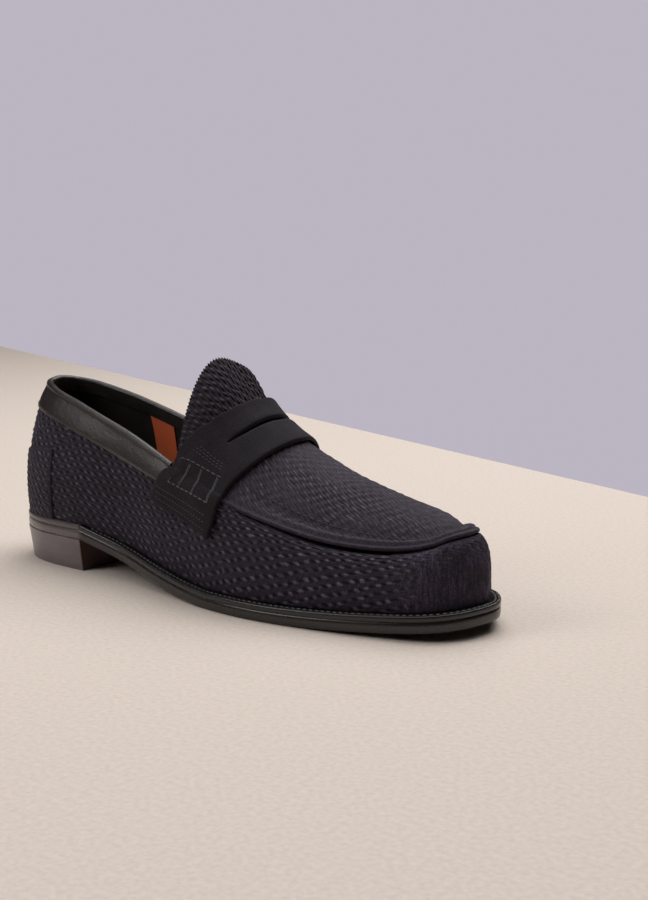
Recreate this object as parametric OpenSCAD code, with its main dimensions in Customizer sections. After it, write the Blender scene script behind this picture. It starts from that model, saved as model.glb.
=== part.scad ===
// Welted penny loafer, right shoe. Toe +X, inner (medial) side +Y, up +Z.
// The origin is on the ground under the middle of the outsole.

/* [Overall] */
// Length of the outsole from heel to toe
sole_l = 302; // [270:1:330]
// Outer half width of the outsole at the ball
ball_out = 50; // [44:0.5:56]
// Inner half width of the outsole at the ball
ball_in = 50; // [44:0.5:56]
// Outer half width at the waist
waist_out = 33.5; // [30:0.5:38]
// Inner half width at the waist
waist_in = 31; // [28:0.5:36]
// Outer half width at the heel
heel_out = 34; // [31:0.5:38]
// Inner half width at the heel
heel_in = 32.5; // [30:0.5:37]
// Outer half width just behind the toe tip
toe_out = 31; // [27:0.5:34]
// Inner half width just behind the toe tip
toe_in = 30.5; // [27:0.5:35]
// How far the toe tip swings to the inner side
toe_swing = 2; // [0:0.5:5]

/* [Sole and heel] */
// Thickness of the outsole
outsole_t = 5.3; // [4:0.1:7]
// Thickness of the welt and of the heel rand
welt_t = 3; // [2:0.1:4]
// Height of the whole heel block
heel_h = 17.5; // [12:0.5:24]
// Length of the heel block
heel_l = 64; // [55:1:72]
// Thickness of the rubber top piece under the heel
top_piece_t = 6; // [4:0.5:8]
// How far the heel block narrows towards the ground
heel_taper = 2.4; // [0:0.1:4]
// Lift of the sole under the toe tip
toe_spring = 6; // [3:0.5:12]
// Where the tread leaves the ground, from the middle of the sole
tread_front = 45; // [30:1:60]
// Where the waist begins to rise behind the tread
tread_back = 18; // [0:1:25]
// Welt left showing round the forepart
welt_margin = 5.5; // [4:0.1:7]
// Rand left showing round the heel
rand_margin = 2.2; // [1:0.1:4]
// Width of the welt strip
welt_w = 12; // [10:0.5:14]
// Thickness of the insole
insole_t = 3; // [2:0.1:4]
// Thickness of the leather sock
sock_t = 1; // [0.6:0.1:1.6]

/* [Upper] */
// Thickness of the woven leather
skin_t = 1.4; // [1:0.1:1.6]
// Thickness of the lining
lining_t = 1; // [0.8:0.1:1.2]
// Thickness of the heel counter and the toe puff
stiff_t = 1; // [0.8:0.1:1.2]
// Thickness of the strap leather
strap_t = 1.8; // [1.2:0.1:2.4]
// Gap left between layers
gap = 0.3; // [0.2:0.05:0.4]
// Leather turned in under the insole
lasting_w = 12; // [8:0.5:16]
// Height of the topline at the back
back_h = 100; // [90:1:110]
// Height of the tongue tip
tongue_h = 118; // [105:1:125]
// Height of the upper's side wall at the toe
toe_wall_h = 46; // [42:0.5:50]
// How far the apron's crest stands over the toe wall
apron_rise = 2.5; // [1:0.5:6]
// Depth of the collar band
collar_w = 12.5; // [10:0.5:16]
// Thickness of the collar and tongue leather
fold_t = 1; // [0.8:0.1:1.2]
// Width of the slit in the strap
slit_w = 3; // [2:0.5:3.5]
// How far the back stay runs forward from the heel's back
stay_l = 41; // [30:1:48]

/* [Hidden] */

heel_x = -sole_l / 2;
toe_x = sole_l / 2;
breast_x = heel_x + heel_l;
lift_n = 3;
lift_t = (heel_h - top_piece_t) / lift_n;

// Distances out from the last of each layer's inner face
lining_d = gap;
stiff_d = lining_d + lining_t + gap;
skin_d = stiff_d + stiff_t + gap;
skin_out = skin_d + skin_t;
cover_d = skin_out + gap;
cover_t = 1.2;

// Layers of glue, and places where the shell's pieces begin and end
glue = .1;
seam_k = .015;
end_k = .06;
lip = .02;
edge_flush = function(x) 0;

// Heights above the underside of the outsole
welt_z = outsole_t;
flange_z = welt_z + welt_t + gap;
insole_z = flange_z + skin_out + gap;
sock_z = insole_z + insole_t + gap;

last_station = 12;
// Stations along the sole as parts of its length
station_x = [0, .0215, .086, .185, .308, .434, .55, .649, .758, .858, .94, .983, 1];
half_out = [0, .56 * heel_out, .9 * heel_out, heel_out, waist_out, mix(waist_out, ball_out, .48),
    mix(waist_out, ball_out, .9), ball_out, mix(ball_out, toe_out, .21), mix(ball_out, toe_out, .56),
    toe_out, .58 * toe_out, -toe_swing];
half_in = [0, .58 * heel_in, .91 * heel_in, heel_in, waist_in, mix(waist_in, ball_in, .24),
    mix(waist_in, ball_in, .71), ball_in, mix(ball_in, toe_in, .09), mix(ball_in, toe_in, .4),
    toe_in, .54 * toe_in, toe_swing];
// Top edge of the skirt at each station: its height, and its set-in from the outsole's edge
edge_h = [back_h, back_h - 1.3, back_h - 3.8, back_h - 10.3, back_h - 21.2,
    mix(back_h, toe_wall_h, .648), mix(back_h, toe_wall_h, .828), mix(back_h, toe_wall_h, .972),
    toe_wall_h - 6.5, toe_wall_h - 8.2, toe_wall_h - 5, toe_wall_h - 1, toe_wall_h];
edge_in = [13, 12.5, 12, 9.8, 5.2, 9.3, 10.4, 12.5, 15, 16.5, 15, 13, 12.5];
// Crest of the last over the instep and the toe: place from the middle, height
apron_h = toe_wall_h + apron_rise;
crest = [[-30, tongue_h + 18], [-12, tongue_h - 3.5], [7, mix(tongue_h, apron_h, .388)],
    [20, mix(tongue_h, apron_h, .532)], [33, mix(tongue_h, apron_h, .633)],
    [46, mix(tongue_h, apron_h, .712)], [66, mix(tongue_h, apron_h, .82)],
    [95, mix(tongue_h, apron_h, .928)], [120, apron_h], [140, apron_h - 4]];
// How square the section is over the crest: round over the toe, fuller under the tongue
crest_power = [[-30, 2.8], [-5, 2.6], [15, 2.1], [40, 1.8], [60, 1.7]];
spine_swing = 6.5;

// Strap: its rear and front edge at each path place q, and where its foot ends, rear and front
strap_rear = [[0, 10], [.32, 8], [.53, 5], [.75, -1], [.91, -12], [1.1, -24], [1.45, -30]];
strap_front = [[0, 37], [.3, 34.5], [.5, 31.5], [.7, 28], [.97, 21], [1.16, 21.5], [1.44, 20.5],
    [1.61, 17]];
strap_foot = [1.43, 1.61];
backing_t = fold_t;
strap_d = cover_d + backing_t + gap;
// Patch of backing under each wing: its front end and its two path places
backing_front = 15;
backing_q = [1.02, 1.38];
slit_reach = .46;
slit_at = .4;
thin_w = .5;
// Stitched ladder on each wing: [x, q] at the ends of its two rails
ladder_top = [[-8.5, .96], [16, .91]];
ladder_low = [[-18, 1.2], [16, 1.29]];
// Bars stop short of the rails by this part, and the row over the foot lies this far up the path
bar_end = .12;
foot_row = .1;
thread_q = [0, .02];
// The seam thread on the apron lies between these parts of the way up to the crest
seam_line = [.07, .11];

welt_from = station(breast_x);
rand_from = station(breast_x - gap);
// Cork fills the forepart and leather fills the heel, split here; both stop short of the ends
filler_split = station(-20);
filler_end = .5;
rib_in = welt_w + gap;
rib_t = 1.4;
shank_t = 1.5;
shank_w = 14;
shank_from = 30;
pad_t = 1;
pad_in = 4;
pad_from = .8;
stitch_in = 2;
welt_stitch_from = 16;
stitch_w = .8;
thread_t = .5;
apron_from = 12;
apron_seam_from = 24;
vamp_lining_from = 21;
// Length of the toe puff, and how far the heel counter runs forward of the heel's breast
puff_l = 38;
counter_past = 18;
counter_top = .62;
stay_k = station(heel_x + stay_l);
collar_x = -22;
collar_k = station(collar_x);
collar_t = fold_t;
collar_in = 8;
stitched_to = -36;
label_x = -86;
label_w = 17;
label_t = .4;
label_low = .42;
tongue_t = fold_t;
tongue_front = 30;
tongue_lap = 1.5;
tongue_gap = .8;
tongue_reach = .86;
tongue_x = -11.5;
tongue_sweep = 10;

function mix(a, b, t) = a + (b - a) * t;
function clamp(a, low, high) = min(high, max(low, a));
function ease(t) = let (c = clamp(t, 0, 1)) c * c * (3 - 2 * c);
function unit(v) = v / max(norm(v), 1e-9);
function tanh(a) = (exp(a) - exp(-a)) / (exp(a) + exp(-a));
function cubic(a, b, c, d, t) =
    (2 * b + (c - a) * t + (2 * a - 5 * b + 4 * c - d) * t * t
        + (3 * b - a - 3 * c + d) * t * t * t) / 2;

// Outline knot j on one side (-1 outer, 1 inner), mirrored past either end
function knot(j, side) =
    let (past = j < 0 || j > last_station,
        i = j < 0 ? -j : j > last_station ? 2 * last_station - j : j,
        inner = past ? side < 0 : side > 0)
    [sole_l * (station_x[i] - .5), inner ? half_in[i] : -half_out[i]];
function outline(k, side) =
    let (j = min(floor(k), last_station - 1), f = k - j)
    cubic(knot(j - 1, side), knot(j, side), knot(j + 1, side), knot(j + 2, side), f);
function along(list, k) =
    let (j = clamp(floor(k), 0, last_station - 1), f = k - j,
        a = list[max(j - 1, 0)], d = list[min(j + 2, last_station)])
    cubic(a, list[j], list[j + 1], d, f);
function outward(k, side) =
    let (t = outline(k + .01, side) - outline(k - .01, side)) unit([-side * t[1], side * t[0]]);
// Station whose outline point lies at x, by halving
function station(x, low = 0, high = last_station, n = 16) =
    n == 0 ? (low + high) / 2
    : let (m = (low + high) / 2)
        outline(m, -1)[0] < x ? station(x, m, high, n - 1) : station(x, low, m, n - 1);

// Underside of the outsole: flat under the heel, arched at the waist, lifted at the toe
function sole_z(x) =
    let (a = clamp((tread_back - x) / (tread_back - breast_x), 0, 1),
        b = clamp((x - tread_front) / (toe_x - tread_front), 0, 1))
    heel_h * pow(a, 1.5) + toe_spring * pow(b, 1.9);
// The line that the upper closes towards, softly stopped at the toe and at the heel
function spine(x) =
    let (front = toe_x - 63, back = heel_x + 53,
        c = x > front ? front + 30 * tanh((x - front) / 30)
            : x < back ? back + 24 * tanh((x - back) / 24) : x)
    [c, spine_swing * ease((c + 100) / 100)];
// Plan point r in from the edge of the outsole
function inset(k, side, r) =
    let (o = outline(k, side), b = o - min(r, 8) * outward(k, side))
    r <= 8 ? b : b + (r - 8) * unit(spine(o[0]) - b);
function margin(x) = mix(rand_margin, welt_margin, ease((x - breast_x + 10) / 60));
function base_in(x, d) = margin(x) + skin_out - d;
// 1 where the wall turns over onto the apron, 0 where it stands up to the topline
function shoulder(x) = ease((x + 60) / 85);

// Point on the wall at station k, t from the feather edge (0) to the top edge (1), d out
function wall(k, side, t, d) =
    let (x = outline(k, side)[0], m = shoulder(x), r0 = base_in(x, d),
        r1 = along(edge_in, k) + (skin_out - d) * mix(1, .7, m),
        z0 = sole_z(inset(k, side, r0)[0]) + flange_z + skin_out - d,
        z1 = along(edge_h, k) + m * .8 * (d - skin_out),
        r = r0 + (r1 - r0) * mix(pow(t, 1.6), 1 - cos(90 * t), m) - mix(3, 1.6, m) * sin(180 * t),
        z = z0 + (z1 - z0) * mix(t, sin(90 * t), m), p = inset(k, side, r))
    [p[0], p[1], z];
// Point of the leather turned in under the insole, s from the feather edge (0) inwards (1)
function flange(k, side, s, d) =
    let (x = outline(k, side)[0], p = inset(k, side, base_in(x, d) + s * lasting_w))
    [p[0], p[1], sole_z(p[0]) + flange_z + skin_out - d];
function crest_at(x, j = 0) =
    let (n = len(crest) - 1)
    j < n - 1 && x > crest[j + 1][0] ? crest_at(x, j + 1)
    : let (a = crest[max(j - 1, 0)], b = crest[j], c = crest[j + 1], e = crest[min(j + 2, n)],
        f = (x - b[0]) / (c[0] - b[0]),
        sb = (c[1] - a[1]) / (c[0] - a[0]) * (c[0] - b[0]),
        sc = (e[1] - b[1]) / (e[0] - b[0]) * (c[0] - b[0]))
    (1 + 2 * f) * pow(1 - f, 2) * b[1] + f * pow(1 - f, 2) * sb
        + f * f * (3 - 2 * f) * c[1] + f * f * (f - 1) * sc;
function crest_z(x, d) =
    let (slope = (crest_at(x + 1) - crest_at(x - 1)) / 2) crest_at(x) + d * sqrt(1 + slope * slope);
// Point on the apron or instep, s from the wall's top edge (0) to the crest (1)
function dome(k, side, s, d) =
    let (e = wall(k, side, 1, d), o = outline(k, side)[0], c = spine(o), m = lookup(o, crest_power),
        x = mix(e[0], c[0], s), y = mix(e[1], c[1], s))
    [x, y, e[2] + (crest_z(x, d) - e[2]) * (1 - pow(1 - s, m))];
// One path over the foot at place x: q is 0 at the crest, 1 at the wall's top edge, 2 at the feather
function over(x, q, d) =
    let (k = station(x), side = q < 0 ? -1 : 1, a = abs(q))
    a <= 1 ? dome(k, side, 1 - a, d) : wall(k, side, 2 - a, d);

// Closed sheet between two grids of points. Cell column `slit` is left open from row a to row b.
// With tip the last row is closed across, left half to right half.
module sheet(outer, inner, tip = false, slit = undef) {
    n = len(outer) - 1;
    m = len(outer[0]) - 1;
    w = m + 1;
    half = m / 2;
    base = (n + 1) * w;
    function open(i, j) = slit != undef && j == slit[0] && i >= slit[1] && i < slit[2];
    points = concat([for (row = outer) each row], [for (row = inner) each row]);
    function o(i, j) = i * w + j;
    function v(i, j) = base + i * w + j;
    faces = concat(
        [for (i = [0:n - 1], j = [0:m - 1]) if (!open(i, j)) each
            [[o(i, j), o(i, j + 1), o(i + 1, j + 1)], [o(i, j), o(i + 1, j + 1), o(i + 1, j)],
            [v(i, j), v(i + 1, j + 1), v(i, j + 1)], [v(i, j), v(i + 1, j), v(i + 1, j + 1)]]],
        [for (i = [0:n - 1]) each
            [[o(i, 0), o(i + 1, 0), v(i + 1, 0)], [o(i, 0), v(i + 1, 0), v(i, 0)],
            [o(i, m), v(i + 1, m), o(i + 1, m)], [o(i, m), v(i, m), v(i + 1, m)]]],
        [for (j = [0:m - 1]) each
            [[o(0, j), v(0, j + 1), o(0, j + 1)], [o(0, j), v(0, j), v(0, j + 1)]]],
        tip ? [for (j = [0:half - 1]) each concat(
                [[o(n, j), o(n, j + 1), o(n, m - j)], [v(n, j), v(n, m - j), v(n, j + 1)]],
                j == half - 1 ? []
                    : [[o(n, j + 1), o(n, m - j - 1), o(n, m - j)],
                    [v(n, j + 1), v(n, m - j), v(n, m - j - 1)]])]
            : [for (j = [0:m - 1]) each
                [[o(n, j), o(n, j + 1), v(n, j + 1)], [o(n, j), v(n, j + 1), v(n, j)]]],
        tip ? [[o(n, 0), o(n, m), v(n, m)], [o(n, 0), v(n, m), v(n, 0)]] : [],
        slit == undef ? [] : let (j = slit[0]) concat(
            [for (i = [slit[1]:slit[2] - 1]) each
                [[o(i, j), v(i + 1, j), o(i + 1, j)], [o(i, j), v(i, j), v(i + 1, j)],
                [o(i, j + 1), o(i + 1, j + 1), v(i + 1, j + 1)],
                [o(i, j + 1), v(i + 1, j + 1), v(i, j + 1)]]],
            [let (i = slit[1]) each
                [[o(i, j), o(i, j + 1), v(i, j + 1)], [o(i, j), v(i, j + 1), v(i, j)]],
            let (i = slit[2]) each
                [[o(i, j), v(i, j + 1), o(i, j + 1)], [o(i, j), v(i, j), v(i, j + 1)]]]));
    polyhedron(points, faces, convexity = 6);
}

// Stops from a to b in n equal steps
function stops(a, b, n) = [for (i = [0:n]) mix(a, b, i / n)];
// The same, with a stop where the sole bends at the heel's breast
function bent_stops(a, b, n) =
    let (m = round(n * (welt_from - a) / (b - a)))
    m < 1 || m > n - 1 ? stops(a, b, n)
    : concat([for (k = stops(a, welt_from, m)) if (k != welt_from) k], stops(welt_from, b, n - m));
// Walk along the outer side to the toe and back along the inner side: [station, side]
function round_toe(from, n) =
    let (ks = bent_stops(from, last_station, n), w = len(ks) - 1)
    concat([for (k = ks) [k, -1]], [for (i = [1:w]) [ks[w - i], 1]]);
// Walk along the inner side to the heel and back along the outer side
function round_heel(from, n) =
    let (ks = bent_stops(from, 0, n), w = len(ks) - 1)
    concat([for (k = ks) [k, 1]], [for (i = [1:w]) [ks[w - i], -1]]);

// A slab across the sole between two stations. The set-ins and heights are functions of x.
module slab(from, to, n, top_in, low_in, low, high) {
    function face(r, h) = [for (k = bent_stops(from, to, n)) let (x = outline(k, -1)[0])
        [for (side = [-1, 1]) let (p = inset(k, side, r(x))) [p[0], p[1], h(p[0])]]];
    sheet(face(top_in, high), face(low_in, low));
}
// A strip along a walk, between two set-ins and two heights over the outsole's underside
module strip(walk, r0, r1, low, high) {
    function face(h) = [for (p = walk)
        [for (r = [r0, r1]) let (q = inset(p[0], p[1], r)) [q[0], q[1], sole_z(q[0]) + h]]];
    sheet(face(high), face(low));
}
// A layer round the foot from the turned-in edge up to the crest, closed at the toe
module cap(from, n, d, t, wall_n, dome_n) {
    function half(k, side, e) = concat([flange(k, side, 1, e)],
        [for (a = stops(0, 1, wall_n)) wall(k, side, a, e)],
        [for (a = stops(0, 1, dome_n)) if (a > 0 && a < 1) dome(k, side, a, e)]);
    function grid(e) = [for (k = stops(from, last_station - end_k, n))
        let (b = half(k, 1, e), w = len(b))
        concat(half(k, -1, e), [dome(k, -1, 1, e)], [for (i = [1:w]) b[w - i]])];
    sheet(grid(d + t), grid(d), tip = true);
}
// A layer on the wall along a walk, between the parts `low` and `high` of the wall at each station
module band(walk, d, t, low, high, n, turned = false) {
    function face(e) = [for (p = walk) concat(turned ? [flange(p[0], p[1], 1, e)] : [],
        [for (a = stops(low(p[0]), high(p[0]), n)) wall(p[0], p[1], a, e)])];
    sheet(face(d + t), face(d));
}
// A thread laid on the strap or apron: path points are [x, q], `across` is its half width in both
module thread(path, across, d) {
    function face(e) = [for (p = path) [over(p[0] - across[0], p[1] - across[1], e),
        over(p[0] + across[0], p[1] + across[1], e)]];
    sheet(face(d + thread_t), face(d));
}

module outsole() {
    color("#1d1b1c") slab(end_k, last_station - end_k, 72, edge_flush, edge_flush,
        function(x) sole_z(x), function(x) sole_z(x) + outsole_t);
}
// One layer of the heel block between two heights over the ground
module heel_layer(low, high) {
    slab(end_k, station(breast_x), 20, function(x) heel_taper * (1 - high / heel_h),
        function(x) heel_taper * (1 - low / heel_h), function(x) low + glue, function(x) high);
}
module heel_lift(i) {
    color("#4a4244") heel_layer(top_piece_t + i * lift_t, top_piece_t + (i + 1) * lift_t - glue);
}
module heel_top_piece() {
    color("#3d3638") heel_layer(-glue, top_piece_t);
}
module welt() {
    color("#141314") strip(round_toe(welt_from, 44), 0, welt_w, welt_z + glue, welt_z + welt_t);
}
module heel_rand() {
    color("#54494b") strip(round_heel(rand_from, 22), 0, welt_w, welt_z + glue, welt_z + welt_t);
}
module welt_stitching() {
    color("#050505") strip(round_toe(station(breast_x + welt_stitch_from), 44), stitch_in,
        stitch_in + stitch_w, welt_z + welt_t + glue, welt_z + welt_t + glue + thread_t);
}
module insole_rib() {
    color("#c9b48f") strip(round_toe(welt_from, 40), rib_in, rib_in + rib_t,
        welt_z + glue, welt_z + welt_t);
}
// Filling between the outsole and the insole, stepped down under the turned-in leather
module filler(from, to, n, top) {
    function edge(k, side, low) = let (x = outline(k, side)[0], rim = rib_in + rib_t + gap,
        step = max(rim + gap, base_in(x, 0) + lasting_w + gap))
        [for (s = [[rim, welt_z + welt_t], [step, welt_z + welt_t], [step + gap, top]])
            let (p = inset(k, side, s[0])) [p[0], p[1], sole_z(p[0]) + (low ? welt_z + glue : s[1])]];
    function face(low) = [for (k = bent_stops(from, to, n))
        let (a = edge(k, -1, low), b = edge(k, 1, low)) concat(a, [b[2], b[1], b[0]])];
    sheet(face(false), face(true));
}
module cork_filler() {
    color("#8a6b48") filler(filler_split + end_k, last_station - filler_end, 26, insole_z - gap);
}
module heel_filler() {
    color("#b39468") filler(filler_end, filler_split, 22, insole_z - 2 * gap - shank_t);
}
// Spring steel strip in the waist, under the insole
module shank() {
    ks = bent_stops(station(heel_x + shank_from), filler_split - end_k, 14);
    function face(h) = [for (k = ks) let (x = outline(k, -1)[0], y = spine(x)[1])
        [for (side = [-1, 1]) [x, y + side * shank_w / 2, sole_z(x) + h]]];
    color("#9aa0a6") sheet(face(insole_z - gap), face(insole_z - gap - shank_t));
}
module insole() {
    rim = function(x) base_in(x, 0);
    color("#c8a679") slab(end_k, last_station - end_k, 48, rim, rim,
        function(x) sole_z(x) + insole_z, function(x) sole_z(x) + insole_z + insole_t);
}
module sock() {
    rim = function(x) base_in(x, -gap);
    color("#2b1d18") slab(end_k, last_station - end_k, 48, rim, rim,
        function(x) sole_z(x) + sock_z, function(x) sole_z(x) + sock_z + sock_t);
}
module heel_pad() {
    rim = function(x) base_in(x, -pad_in);
    low = sock_z + sock_t + glue;
    color("#3a2a24") slab(pad_from, station(breast_x), 12, rim, rim,
        function(x) sole_z(x) + low, function(x) sole_z(x) + low + pad_t);
}
module skirt() {
    color("#2a2534") band(round_toe(seam_k, 52), skin_d, skin_t, function(k) 0, function(k) 1, 8,
        true);
}
module apron() {
    // The edge rolls down over the skirt's top edge
    n = 6;
    function half(k, side, e) = [for (s = stops(lip, 1, n)) dome(k, side, s, e)];
    function grid(e) = [for (k = stops(station(apron_from), last_station - end_k, 26))
        let (a = half(k, -1, e), b = half(k, 1, e)) concat(a, [for (i = [1:n]) b[n - i]])];
    color("#30293a") sheet(grid(skin_out), grid(skin_d), tip = true);
}
module apron_stitching() {
    function face(e) = [for (p = round_toe(station(apron_seam_from), 30))
        [for (s = seam_line) dome(p[0], p[1], lip + s, e)]];
    color("#17131c") sheet(face(skin_out + glue + thread_t), face(skin_out + glue));
}
module vamp_lining() {
    color("#3a2c26") cap(station(vamp_lining_from), 18, lining_d, lining_t, 5, 4);
}
module toe_puff() {
    color("#d9d2c4") cap(station(toe_x - puff_l), 9, stiff_d, stiff_t, 4, 3);
}
module heel_counter() {
    color("#cfc3ae") band(round_heel(station(breast_x + counter_past), 15), stiff_d, stiff_t,
        function(k) 0, function(k) counter_top, 4, true);
}
module quarter_lining() {
    color("#241a18") band(round_heel(station(vamp_lining_from) - end_k, 26), lining_d, lining_t,
        function(k) 0, function(k) 1, 6, true);
}
// Part of the wall that the back stay covers: low at the heel's back, higher at its front edges
stay_low = .02;
stay_top = function(k) mix(.42, .58, k / stay_k);
module back_stay() {
    color("#2e2839") band(round_heel(stay_k, 14), cover_d, cover_t, function(k) stay_low, stay_top, 4);
}
module back_stay_stitching() {
    near = stay_k - .09;
    far = stay_k - .13;
    for (walk = [[[far, -1], [near, -1]], [[near, 1], [far, 1]]]) {
        color("#17131c") band(walk, cover_d + cover_t + glue, thread_t, function(k) stay_low * 2,
            function(k) stay_top(k) - .03, 8);
    }
}
function wall_h(k) = wall(k, -1, 1, 0)[2] - wall(k, -1, 0, 0)[2];
// A band over the outside of the topline, over its edge and down inside the lining
module collar() {
    function section(k, side, t, dz) = concat(
        [for (a = [collar_w, collar_w / 2, 0]) wall(k, side, 1 - a / wall_h(k), cover_d + t)],
        [wall(k, side, 1, (skin_out + lining_d) / 2) + [0, 0, dz]],
        [for (a = [0, collar_in]) wall(k, side, 1 - a / wall_h(k), lining_d - gap - t)]);
    walk = round_heel(collar_k, 26);
    color("#202022") sheet([for (p = walk) section(p[0], p[1], collar_t, gap + collar_t)],
        [for (p = walk) section(p[0], p[1], 0, gap)]);
}
module collar_stitching() {
    color("#0c0c0d") band(round_heel(station(stitched_to), 26), cover_d + collar_t + glue, thread_t,
        function(k) 1 - (collar_w - stitch_in) / wall_h(k),
        function(k) 1 - (collar_w - stitch_in - stitch_w) / wall_h(k), 1);
}
function strap_x(q, w) = mix(lookup(abs(q), strap_rear), lookup(abs(q), strap_front), w);
// Row of points across the strap at path place a (-1 to 1 from foot to foot). The slit is a lens
// that thins to thin_w, a cut without width, at its ends.
function strap_row(a, e) = [for (j = [0:5])
    let (half = abs(a) < slit_reach
            ? max(thin_w, slit_w * sqrt(1 - pow(a / slit_reach, 2))) / 2 : thin_w / 2,
        q0 = a * mix(strap_foot[0], strap_foot[1], slit_at),
        dw = half / (strap_x(q0, 1) - strap_x(q0, 0)),
        w = [0, slit_at / 2, slit_at - dw, slit_at + dw, (1 + slit_at) / 2, 1][j],
        q = a * mix(strap_foot[0], strap_foot[1], w))
    over(strap_x(q, w), q, e)];
module strap() {
    n = 44;
    rows = [for (i = [0:n]) 2 * i / n - 1];
    inside = [for (i = [0:n]) if (abs(rows[i]) < slit_reach) i];
    color("#1c1a22") sheet([for (a = rows) strap_row(a, strap_d + strap_t)],
        [for (a = rows) strap_row(a, strap_d)], slit = [2, inside[0], inside[len(inside) - 1]]);
}
// Layer under each wing of the strap, level with the collar band
module strap_backing() {
    function face(qs, e) = [for (x = stops(collar_x + gap, backing_front, 8))
        [for (q = qs) over(x, q, e)]];
    for (qs = [stops(-backing_q[1], -backing_q[0], 3), stops(backing_q[0], backing_q[1], 3)]) {
        color("#1c1a22") sheet(face(qs, cover_d + backing_t), face(qs, cover_d));
    }
}
// Place a along a rail of the ladder
function rung(rail, a, side) = let (p = mix(rail[0], rail[1], a)) [p[0], side * p[1]];
// Two rails along each wing and a line above its foot
module strap_stitching() {
    e = strap_d + strap_t + gap;
    color("#0b0a0d") for (side = [-1, 1]) {
        for (rail = [ladder_top, ladder_low])
            thread([for (a = stops(0, 1, 8)) rung(rail, a, side)], thread_q, e);
        thread([for (a = stops(.02, .94, 8)) let (q = mix(strap_foot[0], strap_foot[1], a) - foot_row)
            [strap_x(q, a), side * q]], thread_q, e);
    }
}
// Four bars across the two lines of each wing
module strap_bars() {
    e = strap_d + strap_t + gap;
    places = stops(bar_end, 1 - bar_end, 3);
    color("#0b0a0d") for (side = [-1, 1], b = places)
        thread([for (a = stops(bar_end, 1 - bar_end, 2))
            mix(rung(ladder_top, b, side), rung(ladder_low, b, side), a)], [stitch_w / 2 * side, 0], e);
}
module size_label() {
    walk = [for (k = stops(station(label_x + label_w), station(label_x), 4)) [k, 1]];
    color("#d9782f") band(walk, lining_d - gap - label_t, label_t, function(k) label_low,
        function(k) 1 - (collar_in + 1) / wall_h(k), 4);
}
// Flap of the tongue: row w runs from the hinge line (0) to the free edge (1), column v across
function flap_x(v, w) = mix(strap_x(v * tongue_reach, 0) + tongue_lap,
    tongue_x - tongue_sweep * pow(abs(v), 1.5), w);
module flap(d, t) {
    function face(e) = [for (w = stops(1, 0, 8))
        [for (v = stops(-1, 1, 12)) over(flap_x(v, w), v * tongue_reach, e)]];
    sheet(face(d + t), face(d));
}
module tongue() {
    color("#2d2737") flap(stiff_d, tongue_t);
}
module tongue_lining() {
    color("#241a18") flap(lining_d, lining_t);
}
module tongue_base() {
    function face(e) = [for (w = stops(0, 1, 6)) [for (v = stops(-1, 1, 12))
        over(mix(flap_x(v, 0) + tongue_gap, tongue_front, w), v * tongue_reach, e)]];
    color("#2d2737") sheet(face(stiff_d + tongue_t), face(stiff_d));
}

outsole();
welt();
heel_rand();
heel_lift(2);  // heel_lift_upper
heel_lift(1);  // heel_lift_middle
heel_lift(0);  // heel_lift_lower
heel_top_piece();
cork_filler();
heel_filler();
shank();
insole_rib();
insole();
sock();
heel_pad();
welt_stitching();
skirt();
apron();
apron_stitching();
vamp_lining();
toe_puff();
heel_counter();
quarter_lining();
back_stay();
back_stay_stitching();
collar();
collar_stitching();
strap();
strap_backing();
strap_stitching();
strap_bars();
size_label();
tongue_base();
tongue();
tongue_lining();
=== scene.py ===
# Penny loafer for the right foot: woven-embossed suede upper on a welted leather sole.
# Toe +X, inner side +Y, up +Z. Shapes are worked out in millimetres and stored in metres.

import math
import bmesh
import bpy
import numpy as np
from mathutils import Matrix


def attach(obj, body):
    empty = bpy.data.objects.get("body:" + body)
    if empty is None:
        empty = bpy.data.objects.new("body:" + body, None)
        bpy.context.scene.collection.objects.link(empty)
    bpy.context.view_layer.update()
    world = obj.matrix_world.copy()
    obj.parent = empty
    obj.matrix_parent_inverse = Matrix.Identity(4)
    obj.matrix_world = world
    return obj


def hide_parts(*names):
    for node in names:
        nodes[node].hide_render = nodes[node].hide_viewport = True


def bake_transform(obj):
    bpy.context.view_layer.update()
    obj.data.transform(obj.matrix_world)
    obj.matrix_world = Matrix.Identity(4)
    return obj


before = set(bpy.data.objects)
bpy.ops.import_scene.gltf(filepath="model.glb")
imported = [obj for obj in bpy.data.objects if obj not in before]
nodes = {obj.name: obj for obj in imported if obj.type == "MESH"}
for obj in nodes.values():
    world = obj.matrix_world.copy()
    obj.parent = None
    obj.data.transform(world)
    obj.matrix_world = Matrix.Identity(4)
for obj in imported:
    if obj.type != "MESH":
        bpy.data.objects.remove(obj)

put_in_scene = bpy.context.scene.collection.objects.link
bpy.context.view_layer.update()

# ---- Studio ----
# A cream paper floor that ends behind the shoe, in a pale lilac room. A large soft lamp hangs above
# and behind the shoe, a smaller one stands front left, and a weak wide light comes from overhead.

view_azimuth = 37.6
view_elevation = 9.2
view_distance = 728.5
focal_length = 56.23
aim = (42.5, 20.8)  # right of and above a point 50 mm over the origin, seen from the camera
floor_colour = (.74, .65, .585)
room_colour = (.50, .465, .545)
floor_end = 349.5
floor_turn = -21.4


def new_finish(name, colour, roughness, **sockets):
    """A material with one Principled shader. Sockets are named with _ for a space."""
    material = bpy.data.materials.new(name)
    material.use_nodes = True
    shader = material.node_tree.nodes["Principled BSDF"]
    shader.inputs["Base Color"].default_value = (*colour[:3], 1)
    shader.inputs["Roughness"].default_value = roughness
    for socket, value in sockets.items():
        shader.inputs[socket.replace("_", " ")].default_value = value
    return material


def feed(material, socket, value):
    """Sets a socket to a value, or links it where the value is another socket."""
    if isinstance(value, bpy.types.NodeSocket):
        material.node_tree.links.new(value, socket)
    else:
        socket.default_value = value


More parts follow.
